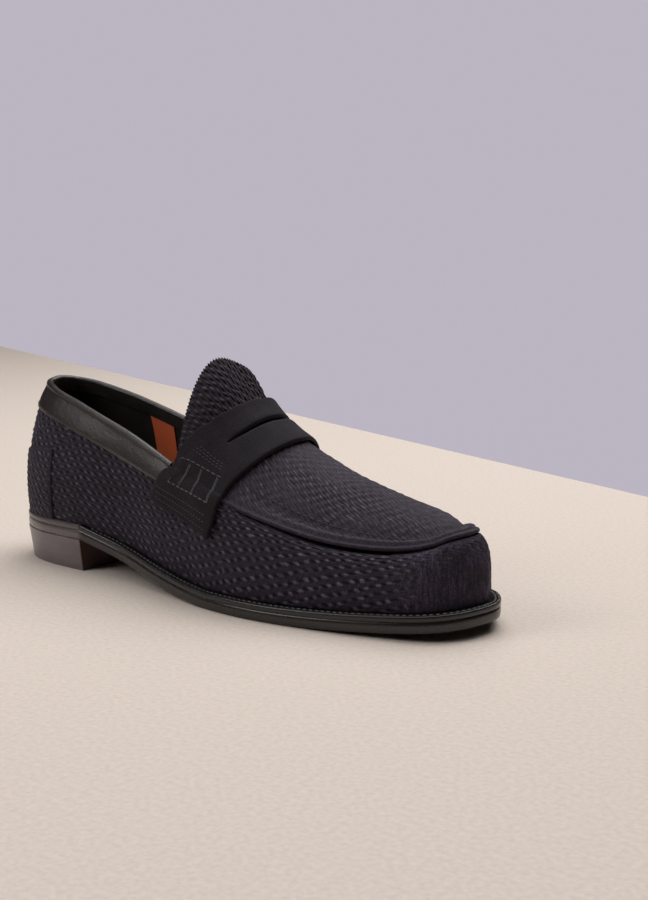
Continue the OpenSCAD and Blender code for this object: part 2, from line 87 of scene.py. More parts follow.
def add_node(material, kind, **inputs):
    """A node of that kind in the material, with its sockets set or linked."""
    node = material.node_tree.nodes.new(kind)
    for socket, value in inputs.items():
        feed(material, node.inputs[socket.replace("_", " ")], value)
    return node


def link_shader(material, socket, source):
    """Joins a source to a socket of the material's shader."""
    shader = material.node_tree.nodes["Principled BSDF"]
    material.node_tree.links.new(source, shader.inputs[socket])


def ramp(material, factor, stops):
    """Colour ramp over the factor, from (place, colour) stops."""
    node = add_node(material, "ShaderNodeValToRGB", Fac=factor)
    elements = node.color_ramp.elements
    while len(elements) < len(stops):
        elements.new(.5)
    for element, (place, colour) in zip(elements, stops):
        element.position = place
        element.color = (*colour[:3], 1)
    return node.outputs["Color"]


def sum_of(material, operation, *values):
    """One step of arithmetic in a material."""
    node = material.node_tree.nodes.new("ShaderNodeMath")
    node.operation = operation
    for socket, value in zip(node.inputs, values):
        feed(material, socket, value)
    return node.outputs["Value"]


def blended(material, kind, first, second, share=1.):
    """Two colours put together the given way."""
    node = material.node_tree.nodes.new("ShaderNodeMix")
    node.data_type = "RGBA"
    node.blend_type = kind
    for index, value in ((0, share), (6, first), (7, second)):
        feed(material, node.inputs[index], value)
    return node.outputs[2]


def speckle(material, scale, detail=3, stretch=(1, 1, 1)):
    """Noise on the object's own coordinates, in features to the metre."""
    place = add_node(material, "ShaderNodeTexCoord").outputs["Object"]
    place = add_node(material, "ShaderNodeMapping", Vector=place, Scale=stretch).outputs["Vector"]
    noise = add_node(material, "ShaderNodeTexNoise", Vector=place, Scale=scale, Detail=detail)
    return noise.outputs["Fac"]


def cloud_colour(material, factor, colour, dark, light, start=.3, stop=.7):
    """The material's colour, from dark to light times the given one as the factor goes from start to
    stop."""
    stops = [(start, [c * dark for c in colour]), (stop, [c * light for c in colour])]
    link_shader(material, "Base Color", ramp(material, factor, stops))


def vary_roughness(material, factor, low, high):
    """The material's roughness, from low to high with a factor."""
    spread = add_node(material, "ShaderNodeMapRange", Value=factor, To_Min=low, To_Max=high)
    link_shader(material, "Roughness", spread.outputs["Result"])


def emboss(material, height, strength, depth, **more):
    """Fine bump from a height, put on the material's shader."""
    bump = add_node(material, "ShaderNodeBump", Height=height, Strength=strength, Distance=depth, **more)
    link_shader(material, "Normal", bump.outputs["Normal"])
    return bump


paper = new_finish("floor_paper", floor_colour, .85, Specular_IOR_Level=.2)
cloud_colour(paper, speckle(paper, 420, 6), floor_colour, .93, 1.05)
emboss(paper, speckle(paper, 260, 6), .2, .0005)
turn = math.radians(floor_turn)
edge_line = np.array([math.cos(turn), math.sin(turn), 0]) * 5
backwards = np.array([-math.sin(turn), math.cos(turn), 0])
near, far = -6 * backwards, floor_end / 1000 * backwards
sheet = bpy.data.meshes.new("floor")
sheet.from_pydata([near - edge_line, near + edge_line, far + edge_line, far - edge_line], [], [(0, 1, 2, 3)])
sheet.materials.append(paper)
floor = bpy.data.objects.new("floor", sheet)
put_in_scene(floor)

azimuth = math.radians(view_azimuth)
elevation = math.radians(view_elevation)
away = np.array([math.sin(azimuth) * math.cos(elevation), -math.cos(azimuth) * math.cos(elevation),
                 math.sin(elevation)])
across = np.array([math.cos(azimuth), math.sin(azimuth), 0])
upward = np.cross(away, across)
place = across * aim[0] + upward * aim[1] + [0, 0, 50] + away * view_distance
camera = bpy.data.objects.new("camera", bpy.data.cameras.new("camera"))
camera.data.lens = focal_length
camera.data.sensor_width = 36
axes = np.column_stack([across, upward, away, place / 1000])
camera.matrix_world = Matrix([*axes.tolist(), (0, 0, 0, 1)])
put_in_scene(camera)
bpy.context.scene.camera = camera


def soft_lamp(name, place, power, size, colour):
    """A square area lamp at a place in metres, turned to the middle of the shoe."""
    lamp = bpy.data.lights.new(name, "AREA")
    lamp.energy = power
    lamp.size = size
    lamp.color = colour
    obj = bpy.data.objects.new(name, lamp)
    back = np.array(place) - (0, 0, .05)
    tilt = math.acos(back[2] / np.linalg.norm(back))
    obj.location = place
    obj.rotation_euler = (tilt, 0, math.atan2(back[1], back[0]) + math.pi / 2)
    put_in_scene(obj)


soft_lamp("main_lamp", (-.05, .6, 1.25), 17, 1.4, (1, .985, .97))
soft_lamp("front_lamp", (-.75, -1.1, 1.0), 7, .8, (1, .985, .98))
sky = bpy.data.objects.new("sky_lamp", bpy.data.lights.new("sky_lamp", "SUN"))
sky.data.energy = .9
sky.data.angle = math.radians(80)
sky.data.color = (1, .985, .965)
put_in_scene(sky)
world = bpy.data.worlds.new("room")
bpy.context.scene.world = world
world.use_nodes = True
world.node_tree.nodes["Background"].inputs["Color"].default_value = (*room_colour, 1)
world.node_tree.nodes["Background"].inputs["Strength"].default_value = 1
world.cycles_visibility.diffuse = False
world.cycles_visibility.glossy = False
bpy.context.scene.view_settings.view_transform = "Standard"

# ---- Outsole ----
# Sole leather cut to the last's outline, arched at the waist and lifted at the toe. Its edge is
# trimmed slightly round, inked and burnished.

sole_length = 302
ball_outer, ball_inner = 50, 50
waist_outer, waist_inner = 33.5, 31
heel_outer, heel_inner = 34, 32.5
toe_outer, toe_inner = 31, 30.5
toe_swing = 2
outsole_thickness = 5.3
heel_height = 17.5
heel_length = 64
toe_spring = 6
tread_front = 45
tread_back = 18
heel_x = -sole_length / 2
toe_x = sole_length / 2
breast_x = heel_x + heel_length
last_station = 12
station_share = np.array([0, .0215, .086, .185, .308, .434, .55, .649, .758, .858, .94, .983, 1])


def mix(a, b, t):
    """Straight mix from a to b."""
    return a + (b - a) * t


def ease(t):
    """Smooth step from 0 to 1."""
    t = np.clip(t, 0, 1)
    return t * t * (3 - 2 * t)


def unit(v):
    """Vectors brought to length 1."""
    return v / np.maximum(np.linalg.norm(v, axis=-1, keepdims=True), 1e-9)


def half_widths(heel, waist, ball, toe, shares, rear, front, tip):
    """Half width of the sole at each station, from its four main widths."""
    return np.array([0, rear[0] * heel, rear[1] * heel, heel, waist, mix(waist, ball, shares[0]),
                     mix(waist, ball, shares[1]), ball, mix(ball, toe, shares[2]), mix(ball, toe, shares[3]),
                     toe, front * toe, tip])


outer_half = half_widths(heel_outer, waist_outer, ball_outer, toe_outer, (.48, .9, .21, .56), (.56, .9), .58,
                         -toe_swing)
inner_half = half_widths(heel_inner, waist_inner, ball_inner, toe_inner, (.24, .71, .09, .4), (.58, .91), .54,
                         toe_swing)


def cubic(a, b, c, d, t):
    """Catmull-Rom curve between b and c."""
    return (2 * b + (c - a) * t + (2 * a - 5 * b + 4 * c - d) * t ** 2 + (3 * b - a - 3 * c + d) * t ** 3) / 2


def knot(j, side):
    """Outline knot j on a side (-1 outer, 1 inner), mirrored past the heel and the toe."""
    past = (j < 0) | (j > last_station)
    i = np.where(j < 0, -j, np.where(j > last_station, 2 * last_station - j, j)).astype(int)
    inner = np.where(past, side < 0, side > 0)
    y = np.where(inner, inner_half[i], -outer_half[i])
    return np.stack([sole_length * (station_share[i] - .5), y], -1)


def outline(k, side):
    """Point of the sole's outline at station k on a side: a Catmull-Rom curve through the knots."""
    k, side = np.broadcast_arrays(np.asarray(k, float), side)
    j = np.minimum(np.floor(k), last_station - 1)
    return cubic(knot(j - 1, side), knot(j, side), knot(j + 1, side), knot(j + 2, side), (k - j)[..., None])


def outward(k, side):
    """Unit direction out of the outline, square to it."""
    tangent = outline(k + .01, side) - outline(k - .01, side)
    side = np.broadcast_to(side, tangent.shape[:-1])
    return unit(np.stack([-side * tangent[..., 1], side * tangent[..., 0]], -1))


fine_stations = np.linspace(0, last_station, 4001)
station_places = outline(fine_stations, -1)[:, 0]


def station(x):
    """Station whose outline point lies at x."""
    return np.interp(x, station_places, fine_stations)


def sole_z(x):
    """Height of the outsole's underside. It rises from the ball to the heel breast with the 1.5th power
    of the way there, and from the ball to the toe tip with the 1.9th power."""
    arch = np.clip((tread_back - x) / (tread_back - breast_x), 0, 1)
    lift = np.clip((x - tread_front) / (toe_x - tread_front), 0, 1)
    return heel_height * arch ** 1.5 + toe_spring * lift ** 1.9


def spine(x):
    """The line that the upper closes towards. Past its front and back places it goes on by a hyperbolic
    tangent, so it stops softly before the toe and the heel."""
    front, back = toe_x - 63, heel_x + 53
    place = np.where(x > front, front + 30 * np.tanh((x - front) / 30),
                     np.where(x < back, back + 24 * np.tanh((x - back) / 24), x))
    return np.stack([place, 6.5 * ease((place + 100) / 100)], -1)


def inset(k, side, r):
    """Plan point r in from the sole's edge: square to the edge for 8 mm, then towards the spine."""
    r = np.asarray(r, float)[..., None]
    edge = outline(k, side)
    near = edge - np.minimum(r, 8) * outward(k, side)
    return np.where(r <= 8, near, near + (r - 8) * unit(spine(edge[..., 0]) - near))


def lifted(plan, height):
    """Plan points with their heights put in."""
    return np.concatenate([plan, np.broadcast_to(height, plan.shape[:-1])[..., None]], -1)


def walk(path):
    """Length of the way along a path up to each of its points."""
    return np.concatenate([[0], np.cumsum(np.linalg.norm(np.diff(path, axis=0), axis=1))])


def make_piece(name, points, faces, finish, slot, lay=None, body="shoe", replaces=(), crease=40,
               tidy=True):
    """Object from points in millimetres. Doubled points are merged, faces turned outwards and shaded
    smooth but for creases. lay is each point's place on the flat leather, and how deep its pattern is."""
    mesh = bpy.data.meshes.new(name)
    mesh.from_pydata(points.reshape(-1, 3) * .001, [], faces)
    if lay is not None:
        places = mesh.attributes.new("lay", "FLOAT_VECTOR", "POINT")
        places.data.foreach_set("vector", lay.astype("f").ravel())
    if tidy:
        work = bmesh.new()
        work.from_mesh(mesh)
        bmesh.ops.remove_doubles(work, verts=work.verts, dist=2e-6)
        bmesh.ops.dissolve_degenerate(work, edges=work.edges, dist=1e-7)
        bmesh.ops.recalc_face_normals(work, faces=work.faces)
        work.to_mesh(mesh)
        work.free()
    mesh.shade_smooth()
    mesh.set_sharp_from_angle(angle=math.radians(crease))
    obj = bpy.data.objects.new(name, mesh)
    put_in_scene(obj)
    mesh.materials.append(finish)
    if body:
        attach(obj, body)
    if replaces:
        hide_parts(*replaces)
    return obj


def ring_faces(rows, around, capped=True):
    """Quads between neighbouring rings of points, each ring closed on itself, and a face over each end."""
    i = np.arange(rows - 1)[:, None] * around
    j = np.arange(around)[None]
    after = (j + 1) % around
    quads = np.stack([i + j, i + after, i + around + after, i + around + j], -1).reshape(-1, 4).tolist()
    if capped:
        quads += [list(range(around))[::-1], list(range((rows - 1) * around, rows * around))]
    return quads


def ring_piece(name, rings, finish, slot, capped=True, **more):
    """Piece whose surface is carried along rings of points."""
    return make_piece(name, rings, ring_faces(*rings.shape[:2], capped), finish, slot, **more)


def around(start, step, far_end, first_side):
    """Even walk from station start along one side, round the far end and back along the other:
    stations, sides, mm walked."""
    half = 1500
    k = np.concatenate([np.linspace(start, far_end, half), np.linspace(far_end, start, half)[1:]])
    number = np.arange(k.size)
    walked = walk(outline(k, np.where(number < half, first_side, -first_side)))
    even = np.linspace(0, walked[-1], int(walked[-1] / step) + 1)
    place = np.interp(even, walked, number)
    return np.interp(place, number, k), np.where(place < half - 1, first_side, -first_side), even


def around_toe(start, step):
    """Walk along the outer side, round the toe and back along the inner side."""
    return around(start, step, last_station, -1)


def around_heel(start, step):
    """Walk along the inner side, round the heel and back along the outer side."""
    return around(start, step, 0, 1)


def edge_profile(low, high, corner, bulge=0, n=13):
    """Sole edge from top to bottom as (set-in, height). The height follows a cosine, and the set-in is
    the corner size times one less the .35th power of the sine, so the side is straight and its corners
    are round."""
    angle = np.linspace(0, math.pi, n)
    h = (low + high) / 2 + (high - low) / 2 * np.cos(angle)
    r = corner * (1 - np.sin(angle) ** .35) + bulge * np.cos(angle) ** 2
    return np.stack([r, h], -1)


def whole_sole(ks, profile, height=sole_z):
    """Rings across the sole: the profile down the outer side, over the bottom and up the inner side."""
    sides = []
    for side in (-1, 1):
        p = inset(ks[:, None], side, np.broadcast_to(profile[:, 0], (ks.size, len(profile))))
        sides.append(lifted(p, height(p[..., 0]) + profile[:, 1]))
    return np.concatenate([sides[0], sides[1][:, ::-1]], 1)


def burnished_finish(name, colour, gloss=.34):
    """Inked and burnished leather edge: cloudy tone, fine pores and faint lines along the edge."""
    finish = new_finish(name, colour, gloss, Specular_IOR_Level=.5, Coat_Weight=.15, Coat_Roughness=.25)
    cloud = speckle(finish, 60, 4, (1, 1, 2.5))
    cloud_colour(finish, cloud, colour, .86, 1.14)
    vary_roughness(finish, cloud, gloss - .08, gloss + .1)
    emboss(finish, speckle(finish, 700, 4, (1, 1, 2.5)), .25, .0002)
    return finish


def fade_along(material, colours, start, stop):
    """Colour that passes from one to the next along the shoe, between two places in millimetres."""
    place = add_node(material, "ShaderNodeTexCoord").outputs["Object"]
    place = add_node(material, "ShaderNodeSeparateXYZ", Vector=place).outputs["X"]
    share = add_node(material, "ShaderNodeMapRange", Value=place, From_Min=start / 1000,
                     From_Max=stop / 1000)
    old = material.node_tree.nodes["Principled BSDF"].inputs["Base Color"].links[0].from_socket
    tint = ramp(material, share.outputs["Result"], list(enumerate(colours)))
    link_shader(material, "Base Color", blended(material, "MULTIPLY", old, tint))


edge_ink = burnished_finish("burnished_edge", (.125, .103, .106), gloss=.26)
fade_along(edge_ink, [(1, 1, 1), (.15, .15, .15)], breast_x - 2, breast_x + 2)
sole_stations = np.concatenate([np.linspace(0, .3, 24), np.linspace(.3, 11.7, 460)[1:],
                                np.linspace(11.7, 12, 24)[1:]])
outsole_profile = np.concatenate([[[6, outsole_thickness]], edge_profile(0, outsole_thickness, .9, .25),
                                  [[9, 0]]])
ring_piece("outsole_edge_trimmed", whole_sole(sole_stations, outsole_profile), edge_ink, "sole_leather",
           capped=False, replaces=["outsole"])

# ---- Heel ----
# Three lifts of stacked leather and a rubber top piece, nailed and glued, then rasped to one
# smooth tapered face and waxed a dark taupe. The breast in front is a darker brown.

top_piece_thickness = 6
heel_taper = 2.4
lift_count = 3
joint_line = .07

heel_wax = burnished_finish("waxed_taupe_stack", (.165, .134, .145), gloss=.36)
rubber_wax = burnished_finish("waxed_taupe_rubber", (.160, .130, .140), gloss=.38)
for wax in (heel_wax, rubber_wax):
    fade_along(wax, [(1, 1, 1), (.42, .25, .18)], breast_x - .9, breast_x - .4)
heel_stations = np.concatenate([np.linspace(0, .3, 20), np.linspace(.3, station(breast_x), 90)[1:]])


def heel_layer(name, low, high, finish, slot, node):
    """One layer of the heel between two heights, tapered inwards towards the ground."""
    profile = edge_profile(low, high, joint_line, n=9)
    profile[:, 0] += heel_taper * (1 - profile[:, 1] / heel_height)
    rings = whole_sole(heel_stations, profile, lambda x: 0 * x)
    ring_piece(name, rings, finish, slot, replaces=[node], crease=50)


heel_layer("top_piece_trimmed", 0, top_piece_thickness, rubber_wax, "heel_rubber", "heel_top_piece")
lift_thickness = (heel_height - top_piece_thickness) / lift_count
for i, level in enumerate(["lower", "middle", "upper"]):
    low = top_piece_thickness + i * lift_thickness
    heel_layer(f"lift_{level}_trimmed", low, low + lift_thickness, heel_wax, "stacked_leather",
               f"heel_lift_{level}")

# ---- Welt and rand ----
# The welt is a strip of waxed leather sewn round the forepart, its top pressed with a fudge wheel
# beside the stitches. The rand is the plain strip that carries on round the heel.

welt_thickness = 3
welt_width = 12
stitch_in = 2.6
groove_depth = .45
groove_half_width = .9
wheel_pitch = 1.25
wheel_dent = .16
welt_top = outsole_thickness + welt_thickness


def edge_strip(k, side, mark=0, groove=0):
    """Rings of a strip on the outsole's edge: a flat top with a stitch groove whose section is a
    parabola, a rounded side and a flat underside. mark is the depth of the wheel's dents at each ring."""
    r = np.array([welt_width, 7, 4.2, 3.7, 3.3, 2.9, 2.6, 2.3, 1.9, 1.5, 1.1, .7, .4, .15, 0, 0, .05,
                  .35, welt_width])
    drop = np.array([0] * 11 + [.05, .15, .4, .8, 2, 2.6, 2.9, 2.9])
    dent = np.array([0] * 9 + [1] * 5 + [.5, .5, 0, 0, 0])
    channel = groove * np.maximum(0, 1 - ((r - stitch_in) / groove_half_width) ** 2)
    h = welt_top - channel - drop - np.reshape(mark, (-1, 1)) * dent
    p = inset(k[:, None], side[:, None], np.broadcast_to(r, (k.size, r.size)))
    return lifted(p, sole_z(p[..., 0]) + h)


welt_wax = burnished_finish("waxed_black_welt", (.009, .008, .008), gloss=.26)
rand_wax = burnished_finish("waxed_taupe_rand", (.100, .084, .087), gloss=.34)
k, side, walked = around_toe(station(breast_x), .3)
wheel = wheel_dent * np.maximum(0, np.cos(2 * math.pi * walked / wheel_pitch)) ** 2
ring_piece("welt_wheeled", edge_strip(k, side, wheel, groove_depth), welt_wax, "welt_leather",
           replaces=["welt"])
k, side, _ = around_heel(station(breast_x - .3), .8)
ring_piece("heel_rand_trimmed", edge_strip(k, side), rand_wax, "welt_leather", replaces=["heel_rand"])


def stitches(name, centres, along, out, finish, node, length=2.2, width=.42, height=.3):
    """Separate stitches: each a small closed spindle, six-sided, arched over the leather and sunk at
    both ends. centres, along and out are (stitches, 3); length, width and height are in millimetres."""
    along, out = unit(along), unit(out)
    beside = np.cross(out, along)
    t = np.array([-1, -.82, -.35, .35, .82, 1])
    swell = np.array([.15, .75, 1, 1, .75, .15])
    arch = np.array([-.9, -.1, .55, .55, -.1, -.9])
    a = np.arange(6) * math.pi / 3
    rise = swell[:, None] * np.sin(a) * .6 + arch[:, None]
    offset = (t[:, None, None, None] * length / 2 * along[None, None]
              + (swell[:, None] * np.cos(a))[..., None, None] * width / 2 * beside[None, None]
              + rise[..., None, None] * height * out[None, None])
    points = (centres[None, None] + offset).transpose(2, 0, 1, 3)
    faces = np.array(sum([[(i * 6 + j, i * 6 + (j + 1) % 6, i * 6 + 6 + (j + 1) % 6, i * 6 + 6 + j)
                           for j in range(6)] for i in range(5)], []))
    caps = [[5, 4, 3, 2, 1, 0], [30, 31, 32, 33, 34, 35]]
    start = np.arange(len(centres)) * 36
    quads = (start[:, None, None] + faces).reshape(-1, 4).tolist()
    ends = (start[:, None, None] + np.array(caps)).reshape(-1, 6).tolist()
    return make_piece(name, points, quads + ends, finish, "thread", replaces=[node] if node else [],
                      crease=80, tidy=False)


def thread_finish(name, colour):
    """Waxed linen thread with its ply showing as a fine twist."""
    finish = new_finish(name, colour, .5, Specular_IOR_Level=.5, Sheen_Weight=.2)
    twist = speckle(finish, 2200, 2)
    cloud_colour(finish, twist, colour, .6, 1.4, .35, .65)
    emboss(finish, twist, .5, .0001)
    return finish


def row_of(path, pitch, above):
    """Stitches evenly spaced along a path of points: their centres, their directions and the directions
    out of the leather, towards a second path above it."""
    walked = walk(path)
    n = max(1, int(walked[-1] / pitch))
    at = (np.arange(n) + .5) * walked[-1] / n

    def point(line, place):
        return np.stack([np.interp(place, walked, line[:, c]) for c in range(3)], -1)

    centre = point(path, at)
    return centre, point(path, at + .2) - centre, point(above, at) - centre


welt_thread = thread_finish("welt_thread_grey", (.13, .12, .115))
k, side, _ = around_toe(station(breast_x + 6), 1)
p = inset(k, side, np.full(k.size, stitch_in))
stitch_path = lifted(p, sole_z(p[:, 0]) + welt_top - groove_depth + .25)
stitches("welt_stitches", *row_of(stitch_path, 3.1, stitch_path + [0, 0, 1]), welt_thread,
         "welt_stitching", length=2.3, width=.75, height=.4)

# ---- Filling, shank, insole and stiffeners ----
# Cork under the ball, leather under the heel, a steel strip in the waist, and the insole with its
# sewing rib. They and the puff and counter are closed in, so the CAD solids keep their shape.


def raw_finish(name, light, dark, scale, roughness=.8):
    """Undyed material in two speckled tones."""
    finish = new_finish(name, light, roughness)
    grain = speckle(finish, scale, 5)
    link_shader(finish, "Base Color", ramp(finish, grain, [(.35, dark), (.65, light)]))
    emboss(finish, grain, .5, .0003)
    return finish


def set_finish(finish, *names):
    """Gives CAD nodes their finish."""
    for name in names:
        nodes[name].data.materials.clear()
        nodes[name].data.materials.append(finish)


set_finish(raw_finish("ground_cork", (.42, .27, .14), (.16, .09, .04), 900), "cork_filler")
set_finish(raw_finish("tanned_leather", (.58, .41, .25), (.46, .31, .18), 500), "heel_filler", "insole",
           "insole_rib")
set_finish(raw_finish("fibre_board", (.075, .066, .06), (.05, .044, .04), 1500), "toe_puff", "heel_counter")
steel = new_finish("spring_steel", (.5, .51, .53), .3, Metallic=1.)
vary_roughness(steel, speckle(steel, 300, 3, (1, 20, 20)), .22, .45)
set_finish(steel, "shank")

# ---- Skirt ----
# One piece of suede that runs right round the foot, embossed with rows of short raised dashes
# like a woven rush. It is lasted over the edge below and turned in under the apron above.

rand_margin, welt_margin = 2.2, 5.5
back_height = 100
tongue_height = 118
toe_wall_height = 46
apron_rise = 2.5
layer_gap = .3
skin_inner = 2.9
skin_outer = 4.3
lasting_width = 12
feather = outsole_thickness + welt_thickness + layer_gap
dash_size = (5.4, 3.5)
row_rise = .2
dash_depth = .4
tuck_in, tuck_down = .8, 2.9
edge_height = np.concatenate([back_height - np.array([0, 1.3, 3.8, 10.3, 21.2]),
                              mix(back_height, toe_wall_height, np.array([.648, .828, .972])),
                              toe_wall_height - np.array([6.5, 8.2, 5, 1, 0])])
edge_inset = np.array([13, 12.5, 12, 9.8, 5.2, 9.3, 10.4, 12.5, 15, 16.5, 15, 13, 12.5])


def along_stations(values, k):
    """Smooth curve through one value for each station."""
    j = np.clip(np.floor(k), 0, last_station - 1).astype(int)
    return cubic(values[np.maximum(j - 1, 0)], values[j], values[j + 1],
                 values[np.minimum(j + 2, last_station)], k - j)


def margin(x):
    """Welt or rand left showing beyond the upper at x."""
    return mix(rand_margin, welt_margin, ease((x - breast_x + 10) / 60))


def wall(k, side, t, d):
    """Point on the wall at station k, t from the feather edge (0) to the top edge (1), d mm out from
    the last. At the quarters it leans in with the 1.6th power of the height, and towards the toe that
    passes into a quarter ellipse. A sine of twice the angle makes both bulge a little."""
    k, side, t, d = np.broadcast_arrays(np.asarray(k, float), side, t, d)
    x = outline(k, side)[..., 0]
    roll = ease((x + 60) / 85)
    r0 = margin(x) + skin_outer - d
    r1 = along_stations(edge_inset, k) + (skin_outer - d) * mix(1, .7, roll)
    z0 = sole_z(inset(k, side, r0)[..., 0]) + feather + skin_outer - d
    z1 = along_stations(edge_height, k) + roll * .8 * (d - skin_outer)
    q = np.maximum(t, 0) * math.pi / 2
    r = (r0 + (r1 - r0) * mix(np.maximum(t, 0) ** 1.6, 1 - np.cos(q), roll)
         - mix(3, 1.6, roll) * np.sin(2 * q))
    z = z0 + (z1 - z0) * mix(t, np.sin(q), roll)
    return lifted(inset(k, side, r), z)


def wall_height(k):
    """Height of the last's wall at station k."""
    k = np.asarray(k, float)
    return wall(k, -1, 1., 0.)[..., 2] - wall(k, -1, 0., 0.)[..., 2]


def soft_noise(u, v, scale, seed):
    """Cloudy unevenness from -1 to 1: six sines in turned directions, of wavelengths near scale mm."""
    turn = np.arange(6) * 1.03 + seed
    wave = 2 * math.pi / (scale * (.7 + .12 * np.arange(6)))
    return sum(np.sin(w * (u * math.cos(a) + v * math.sin(a)) + seed * 7 + 2 * a)
               for a, w in zip(turn, wave)) / 3


def wander(u, v):
    """Place on the leather, with the rows of dashes a little uneven, as embossing on suede is."""
    return np.stack([u + .6 * soft_noise(u, v, 9, 1) + .6 * soft_noise(u, v, 31, 2),
                     v + .3 * soft_noise(u, v, 12, 3) + .5 * soft_noise(u, v, 47, 4)], -1)


def dashes(lay, size):
    """Relief from -1 to 1 of a rush weave with cells of that (length, width): a raised grain in the middle
    of each cell and a sunken one at its ends, half a cell out of step from row to row. Both are ovals
    that lean a little across their row."""
    place = lay[..., 0] / size[0] + np.floor(lay[..., 1] / size[1]) % 2 / 2
    y = (lay[..., 1] / size[1] % 1 - .5) * size[1]

    def oval(shift):
        x = ((place + shift) % 1 - .5) * size[0]
        return np.maximum(0, 1 - (x / size[0] / .41) ** 2 - ((y + .3 * x) / size[1] / .26) ** 2)

    return oval(0) - oval(.5)


def laid(rings, lay, depth, first=0):
    """The lay of a piece's rings: known for the columns of its face, from the first on, and plain
    elsewhere."""
    flat = np.zeros(rings.shape)
    flat[:, first:first + lay.shape[1], :2] = lay
    flat[:, first:first + lay.shape[1], 2] = depth
    return flat


def raised(points, height):
    """Grid of points moved outwards along its own normals by height."""
    normal = unit(np.cross(np.gradient(points, axis=1), np.gradient(points, axis=0)))
    outwards = np.sign((normal * (points - points.mean((0, 1)))).sum())
    return points + outwards * normal * height[..., None]


def woven_finish(name, size, painted_hole_shade, ground, painted_crown_highlight, glint=.22, gloss=.7, sheen=.1, drawn_nap=.2):
    """Embossed suede: painted shade in the sunken dashes and a painted highlight on the raised ones, mottled
    by the nap, with single grains rubbed shiny. The dashes follow the relief's own rule, on the flat leather.
    Where the pattern is shallow, drawn_nap sets how strongly the nap is drawn out in strokes."""
    finish = new_finish(name, ground, gloss, Specular_IOR_Level=.28, Sheen_Weight=sheen, Sheen_Roughness=.35,
                        Sheen_Tint=(.8, .66, .9, 1))
    lay = add_node(finish, "ShaderNodeAttribute")
    lay.attribute_name = "lay"
    flat = add_node(finish, "ShaderNodeSeparateXYZ", Vector=lay.outputs["Vector"])
    across = sum_of(finish, "DIVIDE", flat.outputs["Y"], size[1])
    row = sum_of(finish, "FLOOR", across)
    shift = sum_of(finish, "MULTIPLY", sum_of(finish, "FLOORED_MODULO", row, 2.), .5)
    place = sum_of(finish, "ADD", sum_of(finish, "DIVIDE", flat.outputs["X"], size[0]), shift)
    y = sum_of(finish, "SUBTRACT", sum_of(finish, "FRACT", across), .5)

    def oval(shift):
        x = sum_of(finish, "SUBTRACT", sum_of(finish, "FRACT", sum_of(finish, "ADD", place, shift)), .5)
        lean = sum_of(finish, "MULTIPLY_ADD", x, .3 * size[0] / size[1], y)
        x, lean = (sum_of(finish, "ABSOLUTE", sum_of(finish, "DIVIDE", value, half))
                   for value, half in ((x, .41), (lean, .26)))
        square = sum_of(finish, "ADD", sum_of(finish, "POWER", x, 2.), sum_of(finish, "POWER", lean, 2.))
        return sum_of(finish, "MAXIMUM", sum_of(finish, "SUBTRACT", 1., square), 0.)

    grain = sum_of(finish, "MULTIPLY", oval(0.), flat.outputs["Z"])
    sunken = sum_of(finish, "MULTIPLY", oval(.5), flat.outputs["Z"])
    cell = add_node(finish, "ShaderNodeCombineXYZ", X=sum_of(finish, "FLOOR", place), Y=row)
    chance = add_node(finish, "ShaderNodeTexWhiteNoise", Vector=cell.outputs["Vector"]).outputs["Value"]
    uneven = sum_of(finish, "MULTIPLY", grain, sum_of(finish, "MULTIPLY_ADD", chance, .9, .45))
    height = sum_of(finish, "SUBTRACT", uneven, sunken)
    nap = speckle(finish, 1500, 6)
    brushed = speckle(finish, 420, 4)
    patch = speckle(finish, 38, 4)
    level = sum_of(finish, "MULTIPLY_ADD", height, .5, .5)
    # Painted shade in the sunken dashes and a painted highlight on the raised grains, set by the relief's
    # height.
    tone = ramp(finish, level, [(.05, painted_hole_shade), (.42, ground), (.58, ground), (.95, painted_crown_highlight)])
    mottled = blended(finish, "MULTIPLY", tone, ramp(finish, nap, [(.3, (.3,) * 3), (.7, (1.85,) * 3)]))
    mottled = blended(finish, "MULTIPLY", mottled, ramp(finish, brushed, [(.3, (.7,) * 3), (.7, (1.3,) * 3)]))
    cloud = ramp(finish, patch, [(.3, (.74, .72, .75)), (.7, (1.3, 1.22, 1.34))])
    clouded = blended(finish, "MULTIPLY", mottled, cloud)
    drawn = add_node(finish, "ShaderNodeMapping", Vector=lay.outputs["Vector"], Scale=(1, .16, 0))
    strokes = add_node(finish, "ShaderNodeTexNoise", Vector=drawn.outputs["Vector"], Scale=.7, Detail=4.)
    strokes = ramp(finish, strokes.outputs["Fac"], [(.35, (.6, .57, .62)), (.66, (2.6, 2.45, 2.7))])
    bare = sum_of(finish, "MULTIPLY_ADD", flat.outputs["Z"], -drawn_nap, drawn_nap)
    link_shader(finish, "Base Color", blended(finish, "MULTIPLY", clouded, strokes, bare))
    rubbed = sum_of(finish, "MULTIPLY", sum_of(finish, "GREATER_THAN", nap, .53),
                    sum_of(finish, "GREATER_THAN", uneven, .35))
    vary_roughness(finish, rubbed, gloss, glint)
    weave = add_node(finish, "ShaderNodeBump", Height=height, Strength=.8, Distance=.0006)
    fuzz = add_node(finish, "ShaderNodeBump", Height=nap, Strength=.8, Distance=.0004,
                    Normal=weave.outputs["Normal"])
    link_shader(finish, "Normal", fuzz.outputs["Normal"])
    return finish
